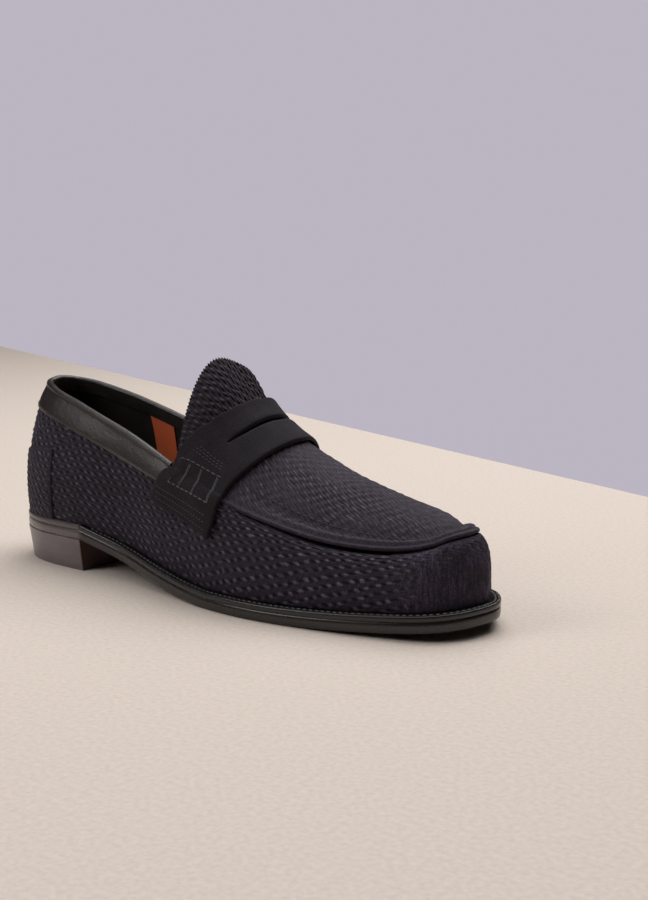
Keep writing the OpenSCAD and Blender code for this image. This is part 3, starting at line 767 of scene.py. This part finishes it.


# Colours: painted shade in the dashes, the suede's own ground, and a painted highlight on the grains.
skirt_suede = woven_finish("woven_suede_skirt", dash_size, (.0030, .0024, .0040), (.0195, .0145, .0240),
                           (.082, .068, .098), drawn_nap=1.25)
k, side, walked = around_toe(.015, .9)
shown = np.linspace(0, 1, 108)
collar_x = -22
collar_width = 12.5
place_x = outline(k, side)[:, 0]
under_apron = ease((place_x - 23) / 15)
collar_lap = 4
top = mix(1 - (collar_width - collar_lap) / wall_height(k), 1, ease((place_x - collar_x - 6) / 12))
t = shown[None] * top[:, None]
skirt_face = wall(k[:, None], side[:, None], t, skin_outer)
tall = np.linalg.norm(np.diff(skirt_face, axis=1), axis=-1).sum(1)
towards_toe = -np.hypot(walked - walked[-1] / 2, 25)
lay = wander(walked[:, None] + 0 * t, shown[None] * tall[:, None] - row_rise * towards_toe[:, None])
toe_nap = ease((place_x - 112) / 26)[:, None]
fade = ease(shown[None] * tall[:, None] / 3) * ease((1.02 - shown[None]) * tall[:, None] / 3)
weave_left = 1 - .75 * toe_nap
relief = (dash_depth * dashes(lay, dash_size) * weave_left
          + .12 * soft_noise(lay[..., 0], lay[..., 1], 6, 5)
          + .25 * toe_nap * soft_noise(lay[..., 0] * 3, lay[..., 1] * .5, 6, 9)) * fade
skirt_face = raised(skirt_face, relief)
tuck = ease((shown - .72) / .25)[None] * (under_apron * (1 - .7 * ease((place_x - 105) / 35)))[:, None]
inwards = unit(spine(place_x) - outline(k, side))
skirt_face[..., :2] += inwards[:, None] * (tuck_in * tuck)[..., None]
skirt_face[..., 2] -= tuck_down * tuck
turned_in = np.linspace(1, .1, 3)
under = inset(k[:, None], side[:, None], margin(place_x)[:, None] + turned_in * lasting_width)
under = lifted(under, sole_z(under[..., 0]) + feather + .05)
back = wall(k[:, None], side[:, None], np.linspace(1, 0, 7)[None] * top[:, None], skin_inner)
back[:, 0] += skirt_face[:, -1] - wall(k, side, top, skin_outer)
skin = skin_outer - skin_inner
lining_side = inset(k[:, None], side[:, None],
                    margin(place_x)[:, None] + skin + turned_in[::-1] * lasting_width)
lining_side = lifted(lining_side, sole_z(lining_side[..., 0]) + feather + skin)
skirt_rings = np.concatenate([under, skirt_face, back, lining_side], 1)
ring_piece("skirt_woven", skirt_rings, skirt_suede, "woven_suede", replaces=["skirt"], crease=75,
           lay=laid(skirt_rings, lay, weave_left, turned_in.size))

# ---- Apron ----
# The raised plate over the toes, of the same suede. Its edge is skived, turned and rolled over the
# skirt's top edge, and stands proud as a rope round the toe.

crest_places = np.array([-30, -12, 7, 20, 33, 46, 66, 95, 120, 140.])
apron_height = toe_wall_height + apron_rise
crest_fall = np.array([.388, .532, .633, .712, .82, .928, 1])
crest_heights = np.array([tongue_height + 18, tongue_height - 3.5,
                          *mix(tongue_height, apron_height, crest_fall), apron_height - 4])
section_power = ((-30, -5, 15, 40, 60), (2.8, 2.6, 2.1, 1.8, 1.7))
apron_start = 12


def crest_at(x):
    """Height of the last's crest at x: a cubic through the crest's places with even slopes."""
    x = np.asarray(x, float)
    n = crest_places.size - 1
    j = np.clip(np.searchsorted(crest_places, x) - 1, 0, n - 1)
    a, b, c, e = (np.clip(j + i, 0, n) for i in (-1, 0, 1, 2))
    span = crest_places[c] - crest_places[b]
    f = (x - crest_places[b]) / span
    slope_b = (crest_heights[c] - crest_heights[a]) / (crest_places[c] - crest_places[a]) * span
    slope_c = (crest_heights[e] - crest_heights[b]) / (crest_places[e] - crest_places[b]) * span
    return ((1 + 2 * f) * (1 - f) ** 2 * crest_heights[b] + f * (1 - f) ** 2 * slope_b
            + f * f * (3 - 2 * f) * crest_heights[c] + f * f * (f - 1) * slope_c)


def dome(k, side, s, d):
    """Point on the apron or instep, s from the wall's top edge (0) to the crest (1), d mm out. Its rise
    is one less a power of what is left of the way, and the power falls from 2.8 to 1.7 along the foot."""
    k, side, s, d = np.broadcast_arrays(np.asarray(k, float), side, s, d)
    edge = wall(k, side, 1., d)
    x = outline(k, side)[..., 0]
    plan = mix(edge[..., :2], spine(x), s[..., None])
    slope = (crest_at(plan[..., 0] + 1) - crest_at(plan[..., 0] - 1)) / 2
    top = crest_at(plan[..., 0]) + d * np.sqrt(1 + slope ** 2)
    z = edge[..., 2] + (top - edge[..., 2]) * (1 - (1 - s) ** np.interp(x, *section_power))
    return lifted(plan, z)


def roll_out(k, side, s, lip):
    """Apron point with its rope edge: a bell-shaped bead 1.4 mm in from the edge, lip mm high, and a
    shallow bell-shaped hollow 6.5 mm in."""
    p = dome(k, side, s, skin_outer)
    reach = np.linalg.norm(dome(k, side, 0., skin_outer) - dome(k, side, 1., skin_outer), axis=-1)
    near = s * reach
    p[..., 2] += lip * np.exp(-((near - 1.4) / 2.2) ** 2) - .3 * lip * np.exp(-((near - 6.5) / 3) ** 2)
    return p


apron_size = (5.2, 3.0)
# Colours: painted shade in the dashes, the suede's own ground, and a painted highlight on the grains.
apron_suede = woven_finish("woven_suede_apron", apron_size, (.0060, .0046, .0070), (.0220, .0166, .0258),
                           (.072, .058, .080), sheen=.25)
edge_k, _, _ = around_toe(station(apron_start), .75)
edge_k = edge_k[:edge_k.size // 2 + 1]
edge_k[-1] = last_station
s = np.concatenate([np.linspace(0, .12, 9), np.linspace(.12, 1, 52)[1:]])
lip_radius, lip_reach = 1.05, .9
curl = np.linspace(-150, 75, 11) * math.pi / 180
halves = []
for side in (-1, 1):
    bead = mix(.7, 2.5, ease((outline(edge_k, side)[:, 0] - 30) / 60))[:, None]
    face = roll_out(edge_k[:, None], side, s[None], bead)
    plan_out = unit(outline(edge_k, side) - spine(outline(edge_k, side)[:, 0]))
    centre = face[:, :1] - [0, 0, lip_radius]
    lip_plan = centre[..., :2] + plan_out[:, None] * (lip_radius * np.cos(curl) + lip_reach)[None, :, None]
    lip = lifted(lip_plan, centre[..., 2] + lip_radius * np.sin(curl))
    halves.append(np.concatenate([lip, face], 1))
apron_face = np.concatenate([halves[0], halves[1][:, -2::-1]], 1)
steps = np.diff(apron_face, axis=1)
stretch = np.linalg.norm(steps, axis=-1).sum(1) / np.linalg.norm(steps[..., :2], axis=-1).sum(1)
crest_column = halves[0].shape[1] - 1
sideways = (apron_face[..., 1] - apron_face[:, crest_column, None, 1]) * stretch[:, None]
lay = wander(apron_face[..., 0], sideways)
columns = np.arange(apron_face.shape[1])
keep = ease(np.minimum(columns, columns[::-1]) / 10 - .7)
worn = .55 + .45 * soft_noise(lay[..., 0], lay[..., 1], 40, 8)
front_fade = ease((130 - apron_face[..., 0]) / 60)
depth = keep * (.35 + .65 * front_fade) * np.clip(worn, .4, 1)
relief = (.3 * dashes(lay, apron_size) * depth
          + .12 * soft_noise(lay[..., 0], lay[..., 1], 5, 11) * keep)
apron_face = raised(apron_face, relief)
apron_face[-1] = (apron_face[-1] + apron_face[-1, ::-1]) / 2
s_back = np.linspace(0, 1, 6)
back_halves = [dome(edge_k[:, None], side, s_back[None], skin_inner) for side in (-1, 1)]
apron_back = np.concatenate([back_halves[1], back_halves[0][:, -2::-1]], 1)
apron_rings = np.concatenate([apron_face, apron_back], 1)
closed_at_rear = ring_faces(*apron_rings.shape[:2])[:-1]
make_piece("apron_woven", apron_rings, closed_at_rear, apron_suede, "woven_suede",
           lay=laid(apron_rings, lay, depth), replaces=["apron"], crease=75)

apron_thread = thread_finish("apron_thread", (.014, .011, .016))
dark_thread = thread_finish("dark_thread", (.040, .036, .042))
seam_part = .17
k, side, _ = around_toe(station(apron_start + 22), 1)
seam_path = roll_out(k, side, np.full(k.size, seam_part), 0) + [0, 0, .2]
stitches("apron_stitches", *row_of(seam_path, 3.6, seam_path + [0, 0, 1]), apron_thread,
         "apron_stitching", length=2.6, width=.5, height=.3)

# ---- Linings, sock and heel pad ----
# Thin dark brown calf inside: the vamp lining, the quarter lining and the sock over the insole.

lining_inner, lining_outer = .3, 1.3


def calf_finish(name, colour, gloss, grain=.25):
    """Smooth calf: fine pebbled grain over a cloudy tone."""
    finish = new_finish(name, colour, gloss, Specular_IOR_Level=.45, Coat_Weight=.08, Coat_Roughness=.3)
    cloud_colour(finish, speckle(finish, 120, 4), colour, .75, 1.3)
    place = add_node(finish, "ShaderNodeTexCoord").outputs["Object"]
    cells = add_node(finish, "ShaderNodeTexVoronoi", Vector=place, Scale=1300.)
    bump = add_node(finish, "ShaderNodeBump", Height=cells.outputs["Distance"], Strength=grain, Distance=.0002)
    emboss(finish, speckle(finish, 260, 5), grain, .0005, Normal=bump.outputs["Normal"])
    return finish


lining_calf = calf_finish("lining_calf", (.020, .015, .013), .6)
set_finish(lining_calf, "vamp_lining", "sock", "heel_pad")
vamp_seam_x = 21
k, side, _ = around_heel(station(vamp_seam_x) - .06, 2)
t = np.linspace(0, 1, 24)[None] * (1 - .8 / wall_height(k))[:, None]
outer = wall(k[:, None], side[:, None], t, lining_outer)
inner = wall(k[:, None], side[:, None], t[:, ::-1], lining_inner)
ring_piece("quarter_lining_calf", np.concatenate([outer, inner], 1), lining_calf, "lining_leather",
           replaces=["quarter_lining"])

# ---- Back stay ----
# A second layer of the woven suede round the back of the heel, with a plain cut edge in front and
# a row of stitches just behind it.

stay_length = 41
cover_inner = 4.6
cover_outer = 5.6
stay_k = station(heel_x + stay_length)
# Colours: painted shade in the dashes, the suede's own ground, and a painted highlight on the grains.
stay_suede = woven_finish("woven_suede_back_stay", dash_size, (.004, .0032, .0050), (.0200, .0155, .0240),
                          (.058, .048, .068), glint=.35)


def stay_top(k):
    """Part of the wall that the back stay reaches up to."""
    return mix(.42, .58, k / stay_k)


k, side, walked = around_heel(stay_k, .8)
from_cut = np.minimum(walked, walked[::-1])
shown = np.concatenate([[0], np.linspace(.012, .985, 76), [.993, 1]])
t = mix(.012, stay_top(k)[:, None], shown[None])
pared = (np.select([shown > .995, shown > .99], [.25, .1], 0.)[None]
         + np.select([from_cut < .1, from_cut < 1], [.6, .1], 0.)[:, None])
face = wall(k[:, None], side[:, None], t, cover_outer - pared)
tall = np.linalg.norm(np.diff(face, axis=1), axis=-1).sum(1)
lay = wander(walked[:, None] + 0 * t, shown[None] * tall[:, None] + .8)
keep = (ease(shown[None] * tall[:, None] / 2) * ease((1 - shown[None]) * tall[:, None] / 1.5)
        * ease(from_cut / 2)[:, None])
face = raised(face, .25 * dashes(lay, dash_size) * keep)
down = np.linspace(1, 0, 6)[None] * stay_top(k)[:, None]
back = wall(k[:, None], side[:, None], down, cover_inner - .35)
stay_rings = np.concatenate([face, back], 1)
ring_piece("back_stay_woven", stay_rings, stay_suede, "woven_suede", lay=laid(stay_rings, lay, keep),
           replaces=["back_stay"], crease=60)
rows = []
for side in (-1, 1):
    stitch_t = np.linspace(.05, stay_top(stay_k) - .03, 60)
    path = wall(stay_k - .1, side, stitch_t, cover_outer + .15)
    rows.append(row_of(path, 2.6, path + [*outward(stay_k, side), 0]))
stitches("back_stay_stitches", *(np.concatenate(part) for part in zip(*rows)), dark_thread,
         "back_stay_stitching", length=1.8, width=.4, height=.25)

# ---- Collar ----
# A band of smooth black calf folded over the topline: it covers the raw edges of suede and lining,
# its fold stands up as a round bead, and one row of stitches holds its lower edge.

collar_inside = 8
bead_radius = 1.95
black_calf = calf_finish("collar_calf", (.030, .0245, .0235), .33, grain=.5)
k, side, _ = around_heel(station(collar_x), 1)
height = wall_height(k)[:, None]
down = np.array([collar_width, collar_width - .1, collar_width - .5, 10, 7.5, 5, 3.4, 2.2])
out = np.array([4.55, 5.15, 5.35, 5.3, 5.0, 4.6, 4.2, 4.05])
outer = wall(k[:, None], side[:, None], 1 - down / height, out[None])
bead_turn = np.linspace(-20, 200, 15) * math.pi / 180
outside, inside = (wall(k, side, 1 - 1.2 / height[:, 0], d) for d in (4., .2))
middle = (outside + inside) / 2
plan_out = unit(outside[:, :2] - inside[:, :2])
bead_plan = middle[:, None, :2] + plan_out[:, None] * (bead_radius * np.cos(bead_turn))[None, :, None]
bead = lifted(bead_plan, middle[:, 2:] + 1.7 * np.sin(bead_turn) + .5)
down = np.array([2.6, 4, collar_inside - .2, collar_inside])
out = np.array([-.1, -.3, -.45, .2])
inner = wall(k[:, None], side[:, None], 1 - down / height, out[None])
ring_piece("collar_calf", np.concatenate([outer, bead, inner], 1), black_calf, "calf",
           replaces=["collar"], crease=50)
calf_thread = thread_finish("collar_thread", (.045, .043, .045))
k, side, _ = around_heel(station(collar_x - 12), 1)
part = 1 - (collar_width - 1.7) / wall_height(k)
stitches("collar_stitches", *row_of(wall(k, side, part, 5.5), 2.4, wall(k, side, part, 8.5)),
         calf_thread, "collar_stitching", length=1.7, width=.38, height=.2)

# ---- Strap ----
# The saddle: one piece of plain fine-napped suede laid over the instep, cut with a lens-shaped slit
# and sewn down at both feet. A ladder of thread draws each wing together over a darker patch.

strap_thickness = 1.8
strap_inner = 5.9
strap_rear = ((0, .32, .53, .75, .91, 1.1, 1.45), (10, 8, 5, -1, -12, -24, -30))
strap_front = ((0, .3, .5, .7, .97, 1.16, 1.44, 1.61), (37, 34.5, 31.5, 28, 21, 21.5, 20.5, 17))
strap_foot = (1.43, 1.61)
slit_reach = .46
slit_at = .4
slit_width = 3


def over(x, q, d):
    """Point at place x on the path over the foot: q is 0 at the crest, 1 at the wall's top edge and 2 at
    the feather, negative on the outer side; d mm out."""
    x, q, d = np.broadcast_arrays(np.asarray(x, float), q, d)
    k = station(x)
    side = np.where(q < 0, -1, 1)
    a = np.abs(q)
    on_top = dome(k, side, np.clip(1 - a, 0, 1), d)
    on_wall = wall(k, side, np.clip(2 - a, 0, 1), d)
    return np.where((a <= 1)[..., None], on_top, on_wall)


def smooth_line(table, q):
    """Strap edge through its table's points, rounded by the mean of nine places within .07 of q."""
    q = np.abs(q)
    return sum(np.interp(np.abs(q + shift), *table) for shift in np.linspace(-.07, .07, 9)) / 9


def strap_x(q, w):
    """Place along the foot at path place q, w from the strap's rear edge (0) to its front edge (1)."""
    return mix(smooth_line(strap_rear, q), smooth_line(strap_front, q), w)


def strap_surface(a, w, d):
    """Strap point: a from the outer foot (-1) to the inner (1), w across, d out."""
    q = a * mix(strap_foot[0], strap_foot[1], w)
    return over(strap_x(q, w), q, d)


def suede_finish(name, dark, light, gloss=.8):
    """Plain suede: short nap in soft patches where it has been brushed both ways."""
    finish = new_finish(name, dark, gloss, Specular_IOR_Level=.2, Sheen_Weight=.1, Sheen_Roughness=.4,
                        Sheen_Tint=(.8, .74, .9, 1))
    nap = speckle(finish, 1600, 5)
    patch = speckle(finish, 60, 4)
    tone = ramp(finish, patch, [(.3, dark), (.75, light)])
    shade = ramp(finish, nap, [(.3, (.5, .5, .5)), (.7, (1.6, 1.6, 1.6))])
    link_shader(finish, "Base Color", blended(finish, "MULTIPLY", tone, shade))
    emboss(finish, nap, .9, .0004)
    return finish


def split_sheet(grid, column, first, last):
    """Faces of a sheet between two grids of one shape, closed all round, with one column of cells left
    open from row first to row last and its sides closed."""
    n, m = grid.shape[0] - 1, grid.shape[1] - 1
    o = np.arange((n + 1) * (m + 1)).reshape(n + 1, m + 1)
    v = o + o.size
    closed = np.ones((n, m), bool)
    closed[first:last, column] = False

    def band(a, b, flip=False):
        quads = np.stack([a[:-1], b[:-1], b[1:], a[1:]], -1)
        return quads[:, ::-1] if flip else quads

    top = np.stack([o[:-1, :-1], o[:-1, 1:], o[1:, 1:], o[1:, :-1]], -1)[closed]
    low = np.stack([v[:-1, :-1], v[1:, :-1], v[1:, 1:], v[:-1, 1:]], -1)[closed]
    rows = slice(first, last + 1)
    sides = [band(o[:, 0], v[:, 0]), band(o[:, m], v[:, m], True), band(o[0], v[0], True), band(o[n], v[n]),
             band(o[rows, column], v[rows, column], True), band(o[rows, column + 1], v[rows, column + 1]),
             band(o[first, column:column + 2], v[first, column:column + 2]),
             band(o[last, column:column + 2], v[last, column:column + 2], True)]
    return np.concatenate([top, low, *sides]).tolist()


strap_suede = suede_finish("plain_suede_strap", (.0085, .0064, .0092), (.0190, .0142, .0200))
a = np.linspace(-1, 1, 361)
a_slit = np.abs(a) < slit_reach
first, last = np.flatnonzero(a_slit)[[0, -1]]
middle = a * mix(strap_foot[0], strap_foot[1], slit_at)
wide = strap_x(middle, 1) - strap_x(middle, 0)
half = np.maximum(slit_width / 2 * np.sqrt(np.clip(1 - (a / slit_reach) ** 2, 0, 1)), .12) / wide
edge_mm = np.array([0, .06, .18, .38, .7, 1.2])
rear_part = edge_mm[None] / wide[:, None]
near_slit = (slit_at - half)[:, None] - edge_mm[None, ::-1] / wide[:, None]
past_slit = (slit_at + half)[:, None] + edge_mm[None] / wide[:, None]
front_part = 1 - edge_mm[None, ::-1] / wide[:, None]


def between(low, high, n):
    """n even steps between two columns of places, without the ends."""
    return mix(low[:, -1:], high[:, :1], np.linspace(0, 1, n + 2)[None, 1:-1])


def worn_off(from_edge):
    """Height lost at a cut edge of the strap: a quarter circle, flattened to .45 mm by 1.2 mm."""
    return .45 * (1 - np.sqrt(1 - np.clip(1 - from_edge / edge_mm[-1], 0, 1) ** 2))


behind_slit, before_slit = 12, 18
w = np.concatenate([rear_part, between(rear_part, near_slit, behind_slit), near_slit, past_slit,
                    between(past_slit, front_part, before_slit), front_part], 1)
edge_columns = edge_mm.size
slit_column = 2 * edge_columns + behind_slit - 1
open_here = ease((slit_reach - np.abs(a)) / .03)[:, None]
drop = np.zeros_like(w)
drop[:, :edge_columns] = worn_off(edge_mm)
drop[:, slit_column + 1 - edge_columns:slit_column + 1] = worn_off(edge_mm)[::-1] * open_here
drop[:, slit_column + 1:slit_column + 1 + edge_columns] = worn_off(edge_mm) * open_here
drop[:, -edge_columns:] = worn_off(edge_mm)[::-1]
foot_mm = (1 - np.abs(a)) * 70
drop = np.maximum(drop, worn_off(foot_mm)[:, None])
q = a[:, None] * mix(strap_foot[0], strap_foot[1], w)
x_here = strap_x(q, w)
patch_top = np.interp(x_here, (-8.5, 16), (.96, .91))
patch_low = np.interp(x_here, (-18, 16), (1.2, 1.29))
inside = ease((np.abs(q) - patch_top) / .025) * ease((patch_low - np.abs(q)) / .025)
inside *= ease((x_here + mix(8.5, 18, (np.abs(q) - .96) / .24)) / 1.5) * ease((16.5 - x_here) / 1.2)
strap_out = (strap_inner + strap_thickness - drop - .55 * inside
             + .05 * soft_noise(a[:, None] * 80, w * wide[:, None], 11, 6))
outer = strap_surface(a[:, None], w, strap_out)
inner = strap_surface(a[:, None], w, strap_inner + 0 * w)
make_piece("strap_suede", np.stack([outer, inner]), split_sheet(outer, slit_column, first, last),
           strap_suede, "plain_suede", replaces=["strap"], crease=50)
set_finish(strap_suede, "strap_backing")


def cord(path, radius, around=6):
    """Rings of a round thread along a path of points."""
    ahead = unit(np.gradient(path, axis=0))
    beside = unit(np.cross(ahead, [.31, .17, .93]))
    above = np.cross(ahead, beside)
    turn = np.arange(around) * 2 * math.pi / around
    return path[:, None] + radius * (np.cos(turn)[None, :, None] * beside[:, None]
                                     + np.sin(turn)[None, :, None] * above[:, None])


def sew(name, runs, finish, node, pitch, **size):
    """Rows of stitches on the strap, each between two (x, q) ends, on both sides."""
    face = strap_inner + strap_thickness
    rows = []
    for start, stop in runs:
        x, q = np.linspace(start, stop, 60).T
        rows += [row_of(over(x, q * side, face + .05), pitch, over(x, q * side, face + 3))
                 for side in (-1, 1)]
    stitches(name, *(np.concatenate(part) for part in zip(*rows)), finish, node, **size)


rail_thread = thread_finish("rail_thread", (.075, .070, .072))
fine_rows = [((-5 + 2 * i, .90 - .02 * i), (15.5, .862 - .02 * i)) for i in range(3)]
foot_rows = [((-25, mix(1.175, 1.43, f)), (15, mix(1.297, 1.61, f))) for f in (.42, .62, .82)]
top_rail = ((-11.5, .957), (17.3, .905))
low_rail = ((-17.5, 1.197), (15.5, 1.292))
sew("strap_rail_stitches", [top_rail, low_rail], rail_thread, "strap_stitching", 3.4, length=3.0,
    width=.5, height=.35)
sew("strap_fine_stitches", fine_rows + foot_rows, dark_thread, None, 2.3, length=1.4, width=.4,
    height=.22)
bar_thread = thread_finish("bar_thread", (.13, .125, .128))
cords = []
for top_x, low_x in ((-11.6, -17.2), (-4.2, -8.6), (3.9, 2.4), (15, 14.4)):
    for strand in (-.42, .42):
        q = np.linspace(np.interp(top_x, *zip(*top_rail)), np.interp(low_x, *zip(*low_rail)), 14)
        straight = np.linspace(0, 1, q.size)
        for _ in range(3):
            straight = walk(over(strand + mix(top_x, low_x, straight), q,
                                 strap_inner + strap_thickness - .1))
            straight /= straight[-1]
        x = strand + mix(top_x, low_x, straight)
        cords += [cord(over(x, q * side, strap_inner + strap_thickness - .2), .17) for side in (-1, 1)]
cords = np.stack(cords)
ring = ring_faces(*cords.shape[1:3])
faces = [[corner + i * cords[0].size // 3 for corner in face] for i in range(len(cords)) for face in ring]
make_piece("strap_ladder_bars", cords, faces, bar_thread, "thread", replaces=["strap_bars"], tidy=False)

# ---- Tongue ----
# The upper end of the apron's suede, pinked along its edge and lined with calf. It rises from under
# the strap.

set_finish(skirt_suede, "tongue_base")
tongue_inner, tongue_outer = 1.6, 2.6
tongue_lap = 1.5
tongue_reach = 1.02
tongue_tip_x = -9.8
tongue_sweep = 10
tooth = 1.9
tongue_dash = (4.8, 3.2)
# Colours: painted shade in the dashes, the suede's own ground, and a painted highlight on the grains.
tongue_suede = woven_finish("woven_suede_tongue", tongue_dash, (.003, .0024, .0036), (.0165, .0125, .0190),
                            (.066, .054, .072), sheen=.22)


def flap_x(v, w):
    """Place along the foot of the tongue: w from its root under the strap (0) to its free edge (1). The
    free edge falls back with the 1.5th power of v, and a sine brings its inner half forward."""
    root = np.interp(np.abs(v) * tongue_reach, *strap_rear) + tongue_lap
    tip = tongue_tip_x - tongue_sweep * np.abs(v) ** 1.5 + 6 * np.sin(math.pi * np.clip(v / .9, 0, 1))
    return mix(root, tip, w)


def flap(v, w, d):
    """Point of the tongue: v across from the outer side (-1) to the inner (1). Clear of the strap each
    side stands out by a sine, fuller than the last."""
    full = np.where(v > 0, 2.2, 2.6) * np.sin(math.pi * np.clip(np.abs(v), 0, 1)) * ease(w / .8)
    return over(flap_x(v, w), v * tongue_reach, d + full)


def flap_grid(d_face, d_back, teeth, rows, columns, w_start=-.18):
    """Rings of the tongue, one for each column: up its face to the edge and down its back."""
    v = np.linspace(-1, 1, columns)
    rim = flap(v, 1., d_face)
    saw = np.abs((walk(rim) / tooth) % 1 * 2 - 1)
    length = np.linalg.norm(rim - flap(v, 0., d_face), axis=1)
    top = 1 + (saw - .5) * teeth / np.maximum(length, 4)
    w = mix(w_start, top[:, None], np.linspace(0, 1, rows)[None])
    return v, w, flap(v[:, None], w, d_face), flap(v[:, None], w[:, ::-1][:, ::8], d_back)


v, w, face, back = flap_grid(tongue_outer, tongue_inner, 1.3, 97, 361)
up = np.concatenate([np.zeros((v.size, 1)), np.cumsum(np.linalg.norm(np.diff(face, axis=1), axis=-1), 1)], 1)
sideways = walk(face[:, 40])
lay = wander(up, (sideways - sideways.mean())[:, None] + 0 * up)
keep = ease((up[:, -1:] - up) / 1.2)
face = raised(face, .4 * dashes(lay, tongue_dash) * keep)
tongue_rings = np.concatenate([face, back], 1)
tongue = ring_piece("tongue_woven", tongue_rings, tongue_suede, "woven_suede", body=None,
                    lay=laid(tongue_rings, lay, keep), replaces=["tongue"], crease=60)
_, _, face, back = flap_grid(lining_outer, lining_inner, 0, 25, 121)
tongue_lining = ring_piece("tongue_lining_calf", np.concatenate([face, back], 1), lining_calf,
                           "lining_leather", body=None, replaces=["tongue_lining"], crease=60)
for flap_piece in (tongue, tongue_lining):
    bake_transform(flap_piece)

# ---- Size label ----
# A strip of orange woven tape sewn inside the quarter, without print.

label_x = -86
label_width = 17
label_tape = new_finish("orange_tape", (.8, .26, .07), .7, Sheen_Weight=.05)
lay_label = add_node(label_tape, "ShaderNodeAttribute")
lay_label.attribute_name = "lay"
tape = add_node(label_tape, "ShaderNodeTexBrick", Vector=lay_label.outputs["Vector"], Scale=1.,
                Mortar_Size=.12, Mortar_Smooth=1., Brick_Width=.7, Row_Height=.35,
                Color1=(1, .18, .05, 1), Color2=(1, .23, .07, 1), Mortar=(.85, .13, .04, 1))
link_shader(label_tape, "Base Color", tape.outputs["Color"])
emboss(label_tape, tape.outputs["Fac"], .4, .0002).invert = True
ks = np.linspace(station(label_x), station(label_x + label_width), 30)
t = np.linspace(.42, .86, 50)
outer = wall(ks[:, None], 1, t[None], .05)
inner = wall(ks[:, None], 1, t[None, ::-1], -.35)
label_rings = np.concatenate([outer, inner], 1)
lay = np.stack(np.broadcast_arrays(np.concatenate([t, t[::-1]])[None] * 60, (ks * 30)[:, None], 0), -1)
ring_piece("size_label_tape", label_rings, label_tape, "label_cloth", lay=lay, replaces=["size_label"])
